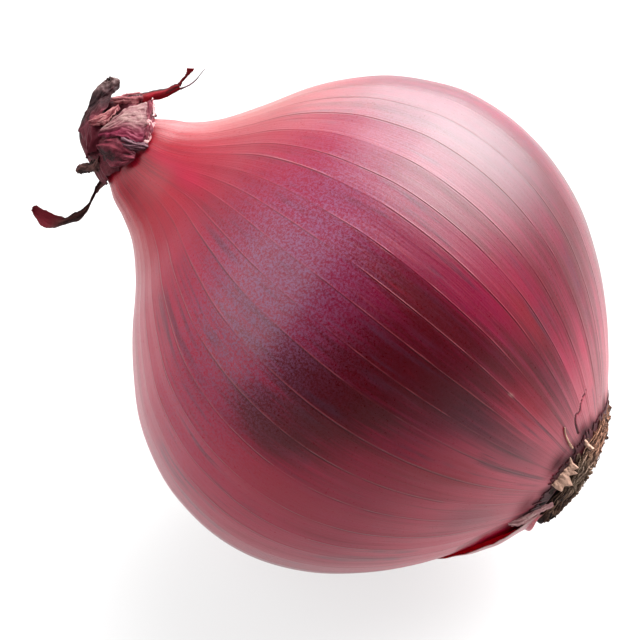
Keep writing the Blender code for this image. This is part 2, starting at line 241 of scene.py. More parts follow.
@dataclass(frozen=True)
class Veins:
    """The lengthwise veins, evenly spaced but for small nudges in degrees, given from vein -3 up."""

    count: int = VEIN_COUNT
    start: float = 2.4
    nudges: tuple[float, ...] = (0.9, 1.7, 2.0, 0.4, 0.0, -1.4, -2.9, -2.8, -4.9, -5.6, -4.4, -2.8, -1.3)
    first: int = -4
    scatter: float = 1.1
    seed: int = 5

    @property
    def turns(self) -> np.ndarray:
        """The turn of each vein from number 0, with one more for the full turn."""
        rng = np.random.default_rng(self.seed)
        shift = rng.uniform(-self.scatter, self.scatter, self.count)
        for step, nudge in enumerate(self.nudges):
            shift[(self.first + step) % self.count] = nudge
        even = self.start + np.arange(self.count) * 360 / self.count
        turns = np.radians(even + shift)
        return np.append(turns, turns[0] + 2 * math.pi)

    def turn_of(self, number: np.ndarray) -> np.ndarray:
        """The turn at each place in the numbering of the veins, from 0 to their count."""
        return np.interp(number, np.arange(self.count + 1), self.turns)


@dataclass
class Surface:
    """A mesh in the making: own-axes points, faces, and what its finish reads."""

    points: np.ndarray
    faces: list[list[int]]
    uvs: np.ndarray | None = None
    marks: dict[str, np.ndarray] = field(default_factory=dict)


def together(surfaces: Sequence[Surface]) -> Surface:
    """Many surfaces as one mesh, with the marks that they all have."""
    shifts = np.cumsum([0] + [len(surface.points) for surface in surfaces[:-1]]).tolist()
    faces = [[corner + shift for corner in face]
             for surface, shift in zip(surfaces, shifts) for face in surface.faces]
    marks = {key: np.concatenate([surface.marks[key] for surface in surfaces]) for key in surfaces[0].marks}
    return Surface(np.vstack([surface.points for surface in surfaces]), faces, None, marks)


def grid_faces(rows: int, columns: int, closed: bool) -> list[list[int]]:
    """Quads of a grid of points.

    Args:
        rows: how many rows of points there are.
        columns: how many points are in a row.
        closed: whether each row meets its own start.

    Returns:
        The corners of each face.
    """
    starts = np.arange(columns if closed else columns - 1)
    low = (np.arange(rows - 1)[:, None] * columns + starts).ravel()
    after = (np.arange(rows - 1)[:, None] * columns + (starts + 1) % columns).ravel()
    return np.stack([low, low + columns, after + columns, after], axis=1).tolist()


def lids(rows: int, columns: int, both: bool = True) -> list[list[int]]:
    """Faces that close a closed grid after its last row, and before its first if both."""
    last = (rows - 1) * columns
    first = [list(range(columns))] if both else []
    return [*first, list(range(last + columns - 1, last - 1, -1))]


def grid_uvs(rows: np.ndarray, columns: np.ndarray, closed: bool) -> np.ndarray:
    """Coordinates of every face corner of a grid, where a closed grid's seam runs on past its end.

    Args:
        rows: the second coordinate of each row.
        columns: the first coordinate of each column, with one more than the points if closed.
        closed: not used.

    Returns:
        One row of two numbers for each corner, in the order of grid_faces.
    """
    spans = len(columns) - 1
    u0, v0 = np.meshgrid(columns[:-1], rows[:-1])
    u1, v1 = np.meshgrid(columns[1:], rows[1:])
    corners = np.stack([u0, v0, u0, v1, u1, v1, u1, v0], axis=-1)
    return corners.reshape((len(rows) - 1) * spans * 4, 2)


def make_piece(name: str, surface: Surface, material: Material) -> Piece:
    """Turns a surface into a smooth-shaded object.

    Args:
        name: the piece's name.
        surface: the points on the onion's own axes, with faces and marks.
        material: its finish.

    Returns:
        The object, linked to the scene.
    """
    mesh = bpy.data.meshes.new(name)
    mesh.from_pydata(FORM.place(surface.points).tolist(), [], surface.faces)
    if surface.uvs is not None:
        layer = mesh.uv_layers.new(name="lay")
        spare = len(mesh.loops) - len(surface.uvs)
        uvs = np.vstack([surface.uvs, np.full((spare, 2), 0.5)]) if spare else surface.uvs
        layer.data.foreach_set("uv", uvs.astype(np.float32).ravel())
    for key, values in surface.marks.items():
        kind = "FLOAT_VECTOR" if values.ndim == 2 else "FLOAT"
        attribute = mesh.attributes.new(key, kind, "POINT")
        spot = "vector" if values.ndim == 2 else "value"
        attribute.data.foreach_set(spot, values.astype(np.float32).ravel())
    mesh.validate()
    mesh.shade_smooth()
    mesh.materials.append(material)
    piece = bpy.data.objects.new(name, mesh)
    bpy.context.scene.collection.objects.link(piece)
    return piece


def skin_marks(along: np.ndarray, turn: np.ndarray) -> dict[str, np.ndarray]:
    """The marks that place points of the skin in its grain and between its veins."""
    grain = np.stack([np.cos(turn), np.sin(turn), along / 40.0], axis=-1)
    return {"grain": grain, "spacing": 2 * math.pi * FORM.radius(along) / VEIN_COUNT}


def settle(piece: Piece, part: Part) -> None:
    """Makes a finished piece ride on the onion and stand for its node, whose imported part it hides."""
    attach(piece, BODY)
    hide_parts(part.value)
    LOG.info("%s: %d vertices", piece.name, len(piece.data.vertices))


# ---------------------------------------------------------------- finishes


class NodeBench:
    """Lays out the nodes of one material."""

    def __init__(self, name: str) -> None:
        """Makes the material with its Principled shader."""
        self.material = bpy.data.materials.new(name)
        self.material.use_nodes = True
        self.tree = self.material.node_tree
        self.shader = self.tree.nodes["Principled BSDF"]

    def add(self, kind: str, values: dict[int | str, Value] | None = None,
            **traits: object) -> bpy.types.Node:
        """Adds a node.

        Args:
            kind: the node's type, without its ShaderNode prefix.
            values: numbers or sockets for its inputs.
            traits: its own settings.

        Returns:
            The node.
        """
        made = self.tree.nodes.new("ShaderNode" + kind)
        for key, value in traits.items():
            setattr(made, key, value)
        for key, value in (values or {}).items():
            self.feed(made.inputs[key], value)
        return made

    def feed(self, socket: Socket, value: Value) -> None:
        """Links a socket to an input, or sets the input's own number."""
        if isinstance(value, Socket):
            self.tree.links.new(value, socket)
        elif isinstance(value, tuple) and len(value) == 3 and socket.type == "RGBA":
            socket.default_value = (*value, 1.0)
        else:
            socket.default_value = value

    def math(self, operation: str, first: Value, second: Value = 0.0) -> Socket:
        """The result of one sum."""
        return self.add("Math", {0: first, 1: second}, operation=operation).outputs[0]

    def times(self, first: Value, second: Value) -> Socket:
        """One value times another."""
        return self.math("MULTIPLY", first, second)

    def plus(self, first: Value, second: Value) -> Socket:
        """Two values added."""
        return self.math("ADD", first, second)

    def less(self, first: Value, second: Value) -> Socket:
        """A value less another."""
        return self.math("SUBTRACT", first, second)

    def swung(self, value: Value, soft: Value, size: float) -> Socket:
        """A value swung up and down by soft noise."""
        return self.plus(value, self.times(self.less(soft, 0.5), size))

    def ramp(self, value: Value, start: float, end: float, low: float = 0.0, high: float = 1.0) -> Socket:
        """A smooth step of the value from low at start to high at end."""
        values = {"Value": value, "From Min": start, "From Max": end, "To Min": low, "To Max": high}
        made = self.add("MapRange", values, interpolation_type="SMOOTHSTEP")
        return made.outputs["Result"]

    def mix(self, share: Value, first: Value, second: Value, blend: str = "MIX") -> Socket:
        """Two colours mixed by a share."""
        made = self.add("Mix", data_type="RGBA", blend_type=blend)
        self.feed(made.inputs["Factor"], share)
        self.feed(made.inputs[6], first)
        self.feed(made.inputs[7], second)
        return made.outputs[2]

    def blur(self, vector: Value, scale: float, detail: float = 2.0, roughness: float = 0.5) -> Socket:
        """Soft noise about 0.5."""
        values = {"Vector": vector, "Scale": scale, "Detail": detail, "Roughness": roughness}
        return self.add("TexNoise", values).outputs[0]

    def stretched(self, vector: Value, scales: Colour) -> Socket:
        """A vector with each part scaled."""
        return self.add("VectorMath", {0: vector, 1: scales}, operation="MULTIPLY").outputs[0]

    def colours(self, share: Value, stops: Sequence[tuple[float, Colour]]) -> Socket:
        """A run of colours over a share from 0 to 1."""
        made = self.add("ValToRGB", {"Fac": share})
        steps = made.color_ramp.elements
        while len(steps) < len(stops):
            steps.new(0.5)
        for step, (place, colour) in zip(steps, stops):
            step.position = place
            step.color = (*colour, 1.0)
        return made.outputs[0]

    def mark(self, name: str, vector: bool = False) -> Socket:
        """A mark that the mesh carries."""
        made = self.add("Attribute", attribute_name=name)
        return made.outputs["Vector" if vector else "Fac"]

    def split(self, vector: Value) -> Sequence[Socket]:
        """The three parts of a vector."""
        return self.add("SeparateXYZ", {0: vector}).outputs

    def lay(self) -> Sequence[Socket]:
        """The mesh's own coordinates, split in parts."""
        return self.split(self.add("UVMap", uv_map="lay").outputs[0])

    def place(self) -> Socket:
        """Where the point is on the object."""
        return self.add("TexCoord").outputs["Object"]

    def raise_by(self, height: Value, depth_mm: float) -> None:
        """Gives the shader low relief of that depth."""
        values = {"Height": height, "Distance": depth_mm * MM, "Strength": 1.0}
        self.feed(self.shader.inputs["Normal"], self.add("Bump", values).outputs[0])

    def dress(self, values: dict[str, Value]) -> Material:
        """Feeds the shader's own inputs and hands over the material."""
        for key, value in values.items():
            self.feed(self.shader.inputs[key], value)
        return self.material


@dataclass(frozen=True)
class OnionSkin:
    """Glossy red-purple outer skin with veins, streaks and a fine speckle; the veins are pale below and
    painted dark on the upper side, where the key highlight lies, and the lilac speckle is partly waxy bloom
    and partly painted sheen.
    """

    name: str = "onion_skin"
    vein_count: int = VEIN_COUNT
    by_length: tuple[tuple[float, Colour], ...] = (
        (0.00, (0.240, 0.0030, 0.0080)),
        (0.09, (0.235, 0.0008, 0.0110)),
        (0.20, (0.210, 0.0008, 0.0150)),
        (0.35, (0.165, 0.0012, 0.0250)),
        (0.55, (0.155, 0.0008, 0.0240)),
        (0.76, (0.205, 0.0015, 0.0290)),
        (0.88, (0.310, 0.0160, 0.0520)),
        (0.95, (0.390, 0.0600, 0.0900)),
        (1.00, (0.370, 0.0750, 0.0950)),
    )
    low_side: Colour = (0.350, 0.0060, 0.0380)
    low_neck: Colour = (0.340, 0.0020, 0.0150)
    low_end: Colour = (0.520, 0.0600, 0.1000)
    burgundy: Colour = (0.066, 0.0001, 0.0030)
    crimson: Colour = (0.270, 0.0010, 0.0160)
    dusk: Colour = (0.060, 0.0130, 0.0260)
    pink: Colour = (0.255, 0.0200, 0.0420)
    # lilac speckle colour: partly the skin's waxy bloom, partly painted sheen
    bloom_and_sheen: Colour = (0.170, 0.0620, 0.1300)
    vein: Colour = (0.245, 0.0420, 0.0600)
    # painted shade: the dark colour given to veins on the upper side, where the key highlight lies
    painted_dark_vein: Colour = (0.110, 0.0030, 0.0100)
    vein_shade: Colour = (0.030, 0.0008, 0.0040)
    deep: Colour = (0.290, 0.0001, 0.0240)
    streak: Colour = (0.110, 0.0001, 0.0030)
    # shade colour: the dark of the crack line, and painted shade in the gap at the root plate, a hollow and a
    # dip
    shade: Colour = (0.034, 0.0016, 0.0045)
    # pale tissue of the nick, also used as a painted highlight on the upper shoulder
    pale: Colour = (0.340, 0.1700, 0.1500)
    roughness: float = 0.31

    def make(self) -> Material:
        """Builds the material."""
        bench = NodeBench(self.name)
        share, length, _ = bench.lay()
        grain = bench.mark("grain", vector=True)
        spacing = bench.mark("spacing")
        number = bench.times(share, float(self.vein_count))
        near = bench.math("FLOOR", bench.plus(number, 0.5))
        side = bench.times(bench.less(number, near), spacing)
        bands = bench.blur(bench.stretched(grain, (17.0, 17.0, 1.5)), 1.0, 4.0, 0.62)
        threads = bench.blur(bench.stretched(grain, (75.0, 75.0, 3.0)), 1.0, 3.0, 0.6)
        hairs = bench.blur(bench.stretched(grain, (230.0, 230.0, 8.0)), 1.0, 2.0, 0.6)
        speckle = bench.blur(bench.place(), 2700.0, 3.0, 0.9)
        patches = bench.blur(bench.place(), 60.0, 3.0, 0.55)

        colour = bench.colours(length, self.by_length)
        upward = bench.split(grain)[1]
        lowered = bench.ramp(upward, 0.05, -0.62)
        lowered = bench.times(lowered, bench.ramp(length, 0.05, 0.25))
        lowered = bench.times(lowered, bench.ramp(length, 0.96, 0.80))
        colour = bench.mix(bench.times(lowered, 0.75), colour, self.low_side)
        low_end = bench.times(bench.ramp(upward, 0.38, -0.15), bench.ramp(length, 0.72, 0.90, 0.0, 0.75))
        colour = bench.mix(low_end, colour, self.low_end)
        under_neck = bench.times(bench.ramp(upward, 0.25, -0.35), bench.ramp(length, 0.20, 0.07))
        colour = bench.mix(under_neck, colour, self.low_neck)
        row = bench.times(bench.math("FLOOR", number), 2.3)
        strip = bench.add("CombineXYZ", {0: row, 1: bench.times(length, 3.0)})
        strips = bench.blur(strip.outputs[0], 1.0, 1.0)
        pigment = bench.mark("pigment")
        depth = pigment
        for soft, size in ((bands, 1.7), (strips, 1.0), (threads, 1.1)):
            depth = bench.swung(depth, soft, size)
        colour = bench.mix(bench.ramp(depth, 0.0, 1.0, 0.0, 0.97), colour, self.burgundy)
        blush = bench.mark("blush")
        rosy = bench.times(bench.ramp(bands, 0.54, 0.72, 0.0, 0.65), bench.ramp(patches, 0.44, 0.62))
        rosy = bench.math("MAXIMUM", rosy, bench.times(blush, bench.ramp(bands, 0.30, 0.60)))
        colour = bench.mix(bench.times(rosy, 0.80), colour, self.crimson)
        dusky = bench.times(bench.ramp(bands, 0.50, 0.36), bench.ramp(patches, 0.58, 0.40))
        dusky = bench.times(dusky, bench.ramp(length, 0.10, 0.28))
        dusky = bench.math("MAXIMUM", dusky, bench.times(blush, -1.0))
        colour = bench.mix(bench.times(dusky, 0.70), colour, self.dusk)
        open_skin = bench.ramp(pigment, 0.15, 0.80, 1.0, 0.22)
        for soft, end, most in ((threads, 0.76, 0.50), (hairs, 0.78, 0.30)):
            pinkish = bench.times(open_skin, bench.ramp(soft, 0.54, end, 0.0, most))
            colour = bench.mix(pinkish, colour, self.pink)
        streaks = bench.times(bench.ramp(threads, 0.47, 0.60), bench.ramp(length, 0.13, 0.02))
        colour = bench.mix(bench.times(streaks, 0.75), colour, self.streak)
        # partly waxy bloom, partly painted sheen: a lilac speckle strongest where the left light reflects on
        # the skin
        bloom_and_sheen_share = bench.ramp(bench.mark("bloom_and_sheen"), 0.0, 1.0, 0.05, 0.95)
        dusted_and_sheened = bench.times(bench.ramp(speckle, 0.455, 0.56), bloom_and_sheen_share)
        colour = bench.mix(dusted_and_sheened, colour, self.bloom_and_sheen)

        luck = bench.add("CombineXYZ", {0: bench.times(near, 3.7), 1: bench.times(length, 6.0)})
        strength = bench.ramp(bench.blur(luck.outputs[0], 1.0, 3.0, 0.7), 0.38, 0.58, 0.15, 1.0)
        strength = bench.times(strength, bench.ramp(spacing, 1.3, 4.2, 0.12, 1.0))
        line = bench.times(bench.ramp(bench.math("ABSOLUTE", side), 0.17, 0.04), strength)
        beside = bench.math("ABSOLUTE", bench.plus(side, 0.22))
        gutter = bench.times(bench.ramp(beside, 0.17, 0.04), strength)
        colour = bench.mix(bench.times(gutter, 0.50), colour, self.vein_shade)
        # painted shade: veins turn dark on the upper side, under the key highlight, and stay pale pink lower
        # down
        vein = bench.mix(bench.ramp(upward, 0.30, 0.52), self.vein, self.painted_dark_vein)
        colour = bench.mix(bench.times(line, 0.62), colour, vein)

        deep, shade, pale = bench.split(bench.mark("spots", vector=True))
        for spot, tint in ((deep, self.deep), (pale, self.pale), (shade, self.shade)):
            colour = bench.mix(spot, colour, tint)

        rough = bench.plus(bench.times(speckle, 0.24), self.roughness - 0.12)
        rough = bench.plus(rough, bench.times(shade, 0.5))
        height = bench.less(bench.times(line, 0.55), bench.times(gutter, 0.35))
        for soft, size in ((threads, 0.60), (hairs, 0.22), (speckle, 0.30)):
            height = bench.plus(height, bench.times(soft, size))
        bench.raise_by(height, 0.05)
        return bench.dress({
            "Base Color": colour, "Roughness": rough, "IOR": 1.39, "Subsurface Weight": 0.30,
            "Subsurface Radius": (1.0, 0.12, 0.18), "Subsurface Scale": 0.0025,
        })


@dataclass(frozen=True)
class DrySkin:
    """Papery dead skin: a middle colour with painted shade in its low folds and painted light on its raised
    ridges, over streaks and fine grain.
    """

    name: str
    dark: Colour
    middle: Colour
    light: Colour
    far: Colour | None = None
    near: Colour | None = None
    streak: Streak = Streak.LENGTHWISE
    roughness: float = 0.55
    relief: float = 0.18

    def make(self) -> Material:
        """Builds the material; far is the colour where the mesh's tone is 1, and near where it is -1."""
        bench = NodeBench(self.name)
        u, v, _ = bench.lay()
        if self.streak is Streak.MOTTLED:
            lines = bench.blur(bench.place(), 1100.0, 4.0, 0.65)
        else:
            tight = 30.0 if self.streak is Streak.FANNED else 15.0
            run = bench.add("CombineXYZ", {0: bench.times(u, tight), 1: bench.times(v, 2.6)})
            lines = bench.blur(run.outputs[0], 1.0, 4.0, 0.65)
        fine = bench.blur(bench.place(), 3600.0, 2.0, 0.75)
        patches = bench.blur(bench.place(), 480.0, 2.0, 0.5)
        # painted light and shade: each point's height in its folds darkens the low folds and lightens the
        # ridges
        relief_shading = bench.mark("relief_shading")
        height = bench.plus(bench.times(relief_shading, 0.62), bench.times(lines, 0.38))
        colour = bench.mix(bench.ramp(height, 0.28, 0.50), self.dark, self.middle)
        ridges = bench.times(bench.ramp(height, 0.50, 0.72), bench.ramp(patches, 0.34, 0.56))
        colour = bench.mix(ridges, colour, self.light)
        colour = bench.mix(bench.ramp(fine, 0.50, 0.70, 0.0, 0.45), colour, self.light)
        colour = bench.mix(bench.ramp(fine, 0.48, 0.30, 0.0, 0.55), colour, self.dark)
        if self.far is not None:
            colour = bench.mix(bench.ramp(bench.mark("tone"), 0.0, 1.0), colour, self.far)
        if self.near is not None:
            colour = bench.mix(bench.ramp(bench.mark("tone"), 0.0, -1.0), colour, self.near)
        rough = bench.plus(bench.times(fine, 0.25), self.roughness - 0.12)
        relief = bench.plus(bench.times(lines, 0.75), bench.times(fine, 0.25))
        bench.raise_by(relief, self.relief)
        return bench.dress({"Base Color": colour, "Roughness": rough, "IOR": 1.38,
                            "Specular IOR Level": 0.28})


@dataclass(frozen=True)
class Cork:
    """Dull corky root tissue: the mesh's tone runs from dark brown to pale tan, and its warmth to orange."""

    name: str = "cork"
    stops: tuple[tuple[float, Colour], ...] = (
        (0.0, (0.010, 0.005, 0.004)),
        (0.3, (0.050, 0.026, 0.017)),
        (0.55, (0.130, 0.080, 0.052)),
        (0.78, (0.220, 0.150, 0.105)),
        (1.0, (0.460, 0.320, 0.250)),
    )
    warmed: Colour = (1.25, 0.82, 0.70)

    def make(self) -> Material:
        """Builds the material."""
        bench = NodeBench(self.name)
        rough_grain = bench.blur(bench.place(), 900.0, 4.0, 0.7)
        fine = bench.blur(bench.place(), 4200.0, 2.0, 0.7)
        tone = bench.swung(bench.swung(bench.mark("tone"), rough_grain, 0.9), fine, 0.5)
        colour = bench.mix(bench.mark("warmth"), bench.colours(tone, self.stops), self.warmed, "MULTIPLY")
        height = bench.plus(bench.times(rough_grain, 0.7), bench.times(fine, 0.3))
        bench.raise_by(height, 0.30)
        return bench.dress({"Base Color": colour, "Roughness": 0.88, "Specular IOR Level": 0.25})


# ---------------------------------------------------------------- torn sheets


def thicken(piece: Piece, thickness: float, levels: int) -> None:
    """Gives a sheet its thickness and rounds it off."""
    shell = piece.modifiers.new("thickness", "SOLIDIFY")
    shell.thickness = thickness * MM
    shell.offset = 0.0
    if levels:
        rounding = piece.modifiers.new("rounding", "SUBSURF")
        rounding.levels = levels
        rounding.render_levels = levels


@dataclass(frozen=True)
class TornSheet:
    """A sheet of dry skin laid between two edges, given as (along, across, toward)."""

    name: str
    finish: str
    first: tuple[Station, ...]
    second: tuple[Station, ...]
    bulge: float = 0.3
    crumple: float = 0.25
    wrinkles: float = 5.0
    runs: float = 2.2
    teeth: float = 14.0
    length_count: int = 60
    width_count: int = 26
    thickness: float = 0.12
    rag: float = 0.16
    tones: tuple[Station, ...] = ((0.0, 0.0), (1.0, 0.0))
    sideways: bool = False

    def surface(self) -> Surface:
        """The sheet's points, with a crumpled middle and ragged edges."""
        first = smooth_line(self.first, self.length_count)
        second = smooth_line(self.second, self.length_count)
        share = np.linspace(0, 1, self.width_count)
        grid = between(first, second, share)
        wide = np.gradient(grid, axis=1)
        normal = unit(np.cross(np.gradient(grid, axis=0), wide))
        normal *= np.sign(normal[..., 2:3] + 1e-6)
        lengths = np.linspace(0, 1, self.length_count)
        seed = 0.37 * sum(ord(letter) for letter in self.name)
        folds = np.zeros(grid.shape[:2])
        ragged = np.zeros(grid.shape[:2])
        for row, run in enumerate(lengths):
            for column, spot in enumerate(share):
                wide_fold = noise.noise(Vector((run * self.runs, spot * self.wrinkles, seed)))
                fold = noise.noise(Vector((run * self.runs * 2.6, spot * self.wrinkles * 2.2, seed + 9.0)))
                kink = noise.noise(Vector((run * self.runs * 7.0, spot * self.wrinkles * 5.0, seed + 5.0)))
                folds[row, column] = 1.0 - 2.6 * abs(wide_fold) + 0.55 * (0.6 - 2.2 * abs(fold)) + 0.22 * kink
                side = round(spot) * 9.0
                ragged[row, column] = noise.noise(Vector((run * self.teeth, side, seed + 2.0)))
                ragged[row, column] += 0.5 * noise.noise(Vector((run * self.teeth * 3.1, side, seed)))
        hump = (1 - (2 * share - 1) ** 2)[None, :]
        grid = grid + normal * (self.bulge * hump + self.crumple * folds)[..., None]
        edge = np.abs(2 * share - 1)[None, :] ** 3
        grid = grid + unit(wide) * (self.rag * 2 * ragged * edge)[..., None]
        places = share[None, :] if self.sideways else lengths[:, None]
        tone = np.broadcast_to(np.interp(places, *zip(*self.tones)), grid.shape[:2])
        # painted light and shade for the finish: the folds' height, low in creases and high on ridges
        relief_shading = np.clip(0.5 + 0.42 * folds - 0.12, 0.0, 1.0)
        faces = grid_faces(self.length_count, self.width_count, closed=False)
        uvs = grid_uvs(lengths, share, closed=False)
        return Surface(grid.reshape(-1, 3), faces, uvs, {"tone": tone.ravel(), "relief_shading": relief_shading.ravel()})


# ---------------------------------------------------------------- the bulb's skin


@dataclass
class OuterSkin:
    """The bulb's outer skin with its veins, ripples, crack and spots."""

    finish: Material
    veins: Veins = Veins()
    columns_per_vein: int = 18
    rows: int = 300
    rib: float = 0.05
    ridge: float = 0.025
    ridge_half: float = 0.30
    fade: float = 6.0
    neck_folds: float = 0.05
    dark_spots: tuple[Station, ...] = (
        (49.0, -13.0, 12.0, 19.0, 1.0), (60.0, 1.0, 10.0, 11.0, 0.62), (68.0, 17.0, 9.0, 13.0, 0.60),
        (53.0, 12.0, 11.0, 4.0, 0.60), (42.0, -30.0, 7.5, 8.0, 0.85), (62.0, 60.0, 24.0, 27.0, 0.75),
        (30.0, 62.0, 14.0, 24.0, 0.42), (69.0, 38.0, 8.0, 10.0, 0.35),
    )
    blushes: tuple[Station, ...] = (
        (73.5, 9.0, 4.5, 8.0, 1.0), (69.0, -19.0, 6.0, 6.0, 1.0), (61.0, -27.0, 9.0, 6.0, 0.8),
        (68.0, -4.0, 6.0, 6.5, -0.8), (76.0, -3.0, 4.5, 10.0, -0.7), (74.0, 24.0, 5.0, 6.0, -0.5),
        (65.0, 28.0, 7.0, 6.0, 0.6), (44.0, 56.0, 16.0, 16.0, -1.0), (50.0, -44.0, 12.0, 7.0, 0.9),
        (28.0, -30.0, 9.0, 8.0, 0.5), (76.0, -38.0, 4.0, 9.0, -0.6),
    )
    crack: tuple[Station, ...] = (
        (78.9, 11.3), (79.05, 10.5), (79.15, 9.9), (79.5, 8.9), (80.0, 7.95),
        (79.85, 7.1), (80.6, 6.1), (81.9, 5.2),
    )
    exposed: tuple[Station, ...] = (
        (77.6, -19.9), (79.4, -15.9), (81.2, -12.7), (82.9, -11.6), (84.6, -9.0),
    )

    def relief(self, along: np.ndarray, number: np.ndarray, turn: np.ndarray) -> np.ndarray:
        """Height of the skin's ribs, vein ridges, ripples and neck folds.

        Args:
            along: distance of each row.
            number: each column's place in the numbering of the veins.
            turn: each column's turn.

        Returns:
            Heights in an array of rows by columns.
        """
        off = number - np.round(number)
        radius = FORM.radius(along)[:, None]
        spacing = 2 * math.pi * radius / self.veins.count
        ends = np.minimum(along - FORM.start, FORM.end - along)[:, None]
        fade = np.clip(ends / self.fade, 0.0, 1.0)
        fade = fade * ease(radius, 7.0, 24.0)
        height = fade * self.rib * (0.5 + 0.5 * np.cos(2 * math.pi * off))
        height = height + fade * self.ridge * np.exp(-((off * spacing / self.ridge_half) ** 2))
        rng = np.random.default_rng(21)
        share = (along / FORM.end)[:, None]
        for cycles in (7, 11, 16, 23, 31, 38, 53, 67):
            phase, drift = rng.uniform(0, 2 * math.pi), rng.uniform(-3.0, 3.0)
            swell = 0.5 + 0.5 * np.sin(rng.uniform(2, 5) * share * math.pi + rng.uniform(0, 6))
            size = 0.55 / cycles * np.minimum(radius / 30.0, 1.0)
            height = height + fade * size * swell * np.sin(cycles * turn + phase + drift * share)
        waist = np.exp(-(((along - 4.5) / 5.5) ** 2))[:, None]
        for cycles, phase in ((13, 0.3), (21, 1.9), (34, 4.0)):
            height = height + self.neck_folds * 6 / cycles * waist * np.sin(cycles * turn + phase)
        return height

    def spots(self, along: np.ndarray, turn: np.ndarray) -> np.ndarray:
        """Shares of deep red, shade and pale over the skin: the shade is the crack line plus painted shade in
        the gap at the root plate, a hollow and a dip, which also takes deep red; the pale is a nick of pale
        tissue plus a painted highlight along the upper shoulder.

        Args:
            along: distance of each point.
            turn: turn of each point.

        Returns:
            Three shares for each point.
        """
        radius = FORM.radius(along)
        across = FORM.bow(along) + radius * np.sin(turn)
        shows = np.cos(turn) > 0
        flush = mound(along, across, (10.6, 1.7), (3.4, 1.8))
        flush += 0.6 * mound(along, across, (5.0, 1.8), (2.6, 1.2))
        deep = np.where(shows, flush, 0.0)
        line = smooth_line(self.exposed, 60)
        edge_across = np.interp(along, line[:, 0], line[:, 1])
        low = (along > line[0, 0]) & (across < edge_across) & (np.sin(turn) < 0)
        deep = np.where(low, 1.0, deep)
        crack = smooth_line(self.crack, 120)
        shade = np.zeros_like(along)
        near = shows & (along > 77.5) & (along < 83.5) & (across > 3.5) & (across < 12.5)
        if near.any():
            gaps = np.hypot(along[near][:, None] - crack[:, 0], across[near][:, None] - crack[:, 1])
            widths = np.interp(crack[:, 0], (79.0, 79.9, 81.8), (0.05, 0.10, 0.20))
            shade[near] = np.max(ease(gaps / widths, 1.5, 0.7), axis=1)
        # painted shade: a dark ragged ring on the skin where it meets the root plate
        ragged = along + 0.5 * np.sin(5 * turn) + 0.3 * np.sin(13 * turn + 1) + 0.25 * np.sin(31 * turn)
        shade = np.maximum(shade, 0.95 * ease(ragged, 81.5, 83.6))
        # painted shade: a dark hollow beside the plate, and a dark red-brown dip near the lip
        hollow = mound(along, across, (82.2, -0.4), (1.3, 2.4))
        shade = np.maximum(shade, np.where(shows, 0.90 * hollow, 0.0))
        dip = mound(along, across, (82.3, -8.6), (1.3, 2.2))
        deep = np.maximum(deep, np.where(shows, 0.75 * dip, 0.0))
        shade = np.maximum(shade, np.where(shows, 0.50 * dip, 0.0))
        nick = mound(along, across, (69.4, 3.65), (0.40, 0.22))
        # painted highlight: a pale patch along the upper shoulder near the neck
        shoulder_highlight = mound(along, turn, (13.0, 1.26), (8.0, 0.45))
        pale = np.maximum(np.where(shows, 0.9 * nick, 0.0), 0.45 * shoulder_highlight)
        return np.stack([np.clip(part, 0, 1) for part in (deep, shade, pale)], axis=-1)

    @staticmethod
    def spread(marks: Sequence[Station], along: np.ndarray, degrees: np.ndarray) -> np.ndarray:
        """The sum of marks, each given as (along, turn in degrees, two widths, amount)."""
        total = np.zeros_like(along)
        for middle, facing, length, width, amount in marks:
            total += amount * mound(along, degrees, (middle, facing), (length, width))
        return total

    def pigment(self, along: np.ndarray, turn: np.ndarray) -> np.ndarray:
        """How dark the skin is grown: by its dark spots, and in patches on the side that doesn't show."""
        degrees = degrees_of(turn)
        grown = self.spread(self.dark_spots, along, degrees)
        ways = np.stack([1.7 * np.cos(turn), 1.7 * np.sin(turn), along / 34.0], axis=-1)
        unseen = ease(np.abs(degrees + 5.0), 62.0, 100.0) * ease(along, 12.0, 34.0) * ease(along, 82.0, 66.0)
        patchy = np.array([noise.noise(Vector(way)) for way in ways[unseen > 0]])
        grown[unseen > 0] += unseen[unseen > 0] * np.clip(0.42 + 1.1 * patchy, 0.0, 1.0)
        return np.clip(grown, 0.0, 1.0)

    def blush(self, along: np.ndarray, turn: np.ndarray) -> np.ndarray:
        """Crimson at 1 and dusky at -1."""
        return np.clip(self.spread(self.blushes, along, degrees_of(turn)), -1.0, 1.0)

    def build(self) -> Piece:
        """Builds the skin as one closed mesh."""
        steps = np.hypot(np.diff(FORM.line[:, 0]), np.diff(FORM.line[:, 1]))
        travelled = np.concatenate([[0.0], np.cumsum(steps)])
        share = np.linspace(0, 1, self.rows)
        share = share - 0.035 * np.sin(2 * math.pi * share)
        along = np.interp(share * travelled[-1], travelled, FORM.line[:, 0])
        columns = self.veins.count * self.columns_per_vein
        number = np.arange(columns) / self.columns_per_vein
        turn = self.veins.turn_of(number)
        lift = self.relief(along, number, turn)
        alongs, turns = np.meshgrid(along, turn, indexing="ij")
        flat_along, flat_turn = alongs.ravel(), turns.ravel()
        spots = self.spots(flat_along, flat_turn)
        groove = 0.16 * spots[:, 1] * (flat_along < 81.9)
        points = FORM.skin(flat_along, flat_turn, lift.ravel() - groove)
        faces = grid_faces(self.rows, columns, closed=True) + lids(self.rows, columns)
        uvs = grid_uvs(along / FORM.end, np.arange(columns + 1) / columns, closed=True)
        # the lilac speckle, partly waxy bloom and partly painted sheen, peaks about 31 mm along, just below
        # the middle of the side that shows, where the left light reflects
        bloom_and_sheen_side = 0.28 + 0.72 * np.exp(-(((degrees_of(flat_turn) + 7.0) / 30.0) ** 2))
        marks = skin_marks(flat_along, flat_turn) | {
            "pigment": self.pigment(flat_along, flat_turn),
            "blush": self.blush(flat_along, flat_turn),
            "bloom_and_sheen": np.exp(-(((flat_along - 31.0) / 12.5) ** 2)) * bloom_and_sheen_side,
            "spots": spots,
        }
        return make_piece("outer_skin", Surface(points, faces, uvs, marks), self.finish)


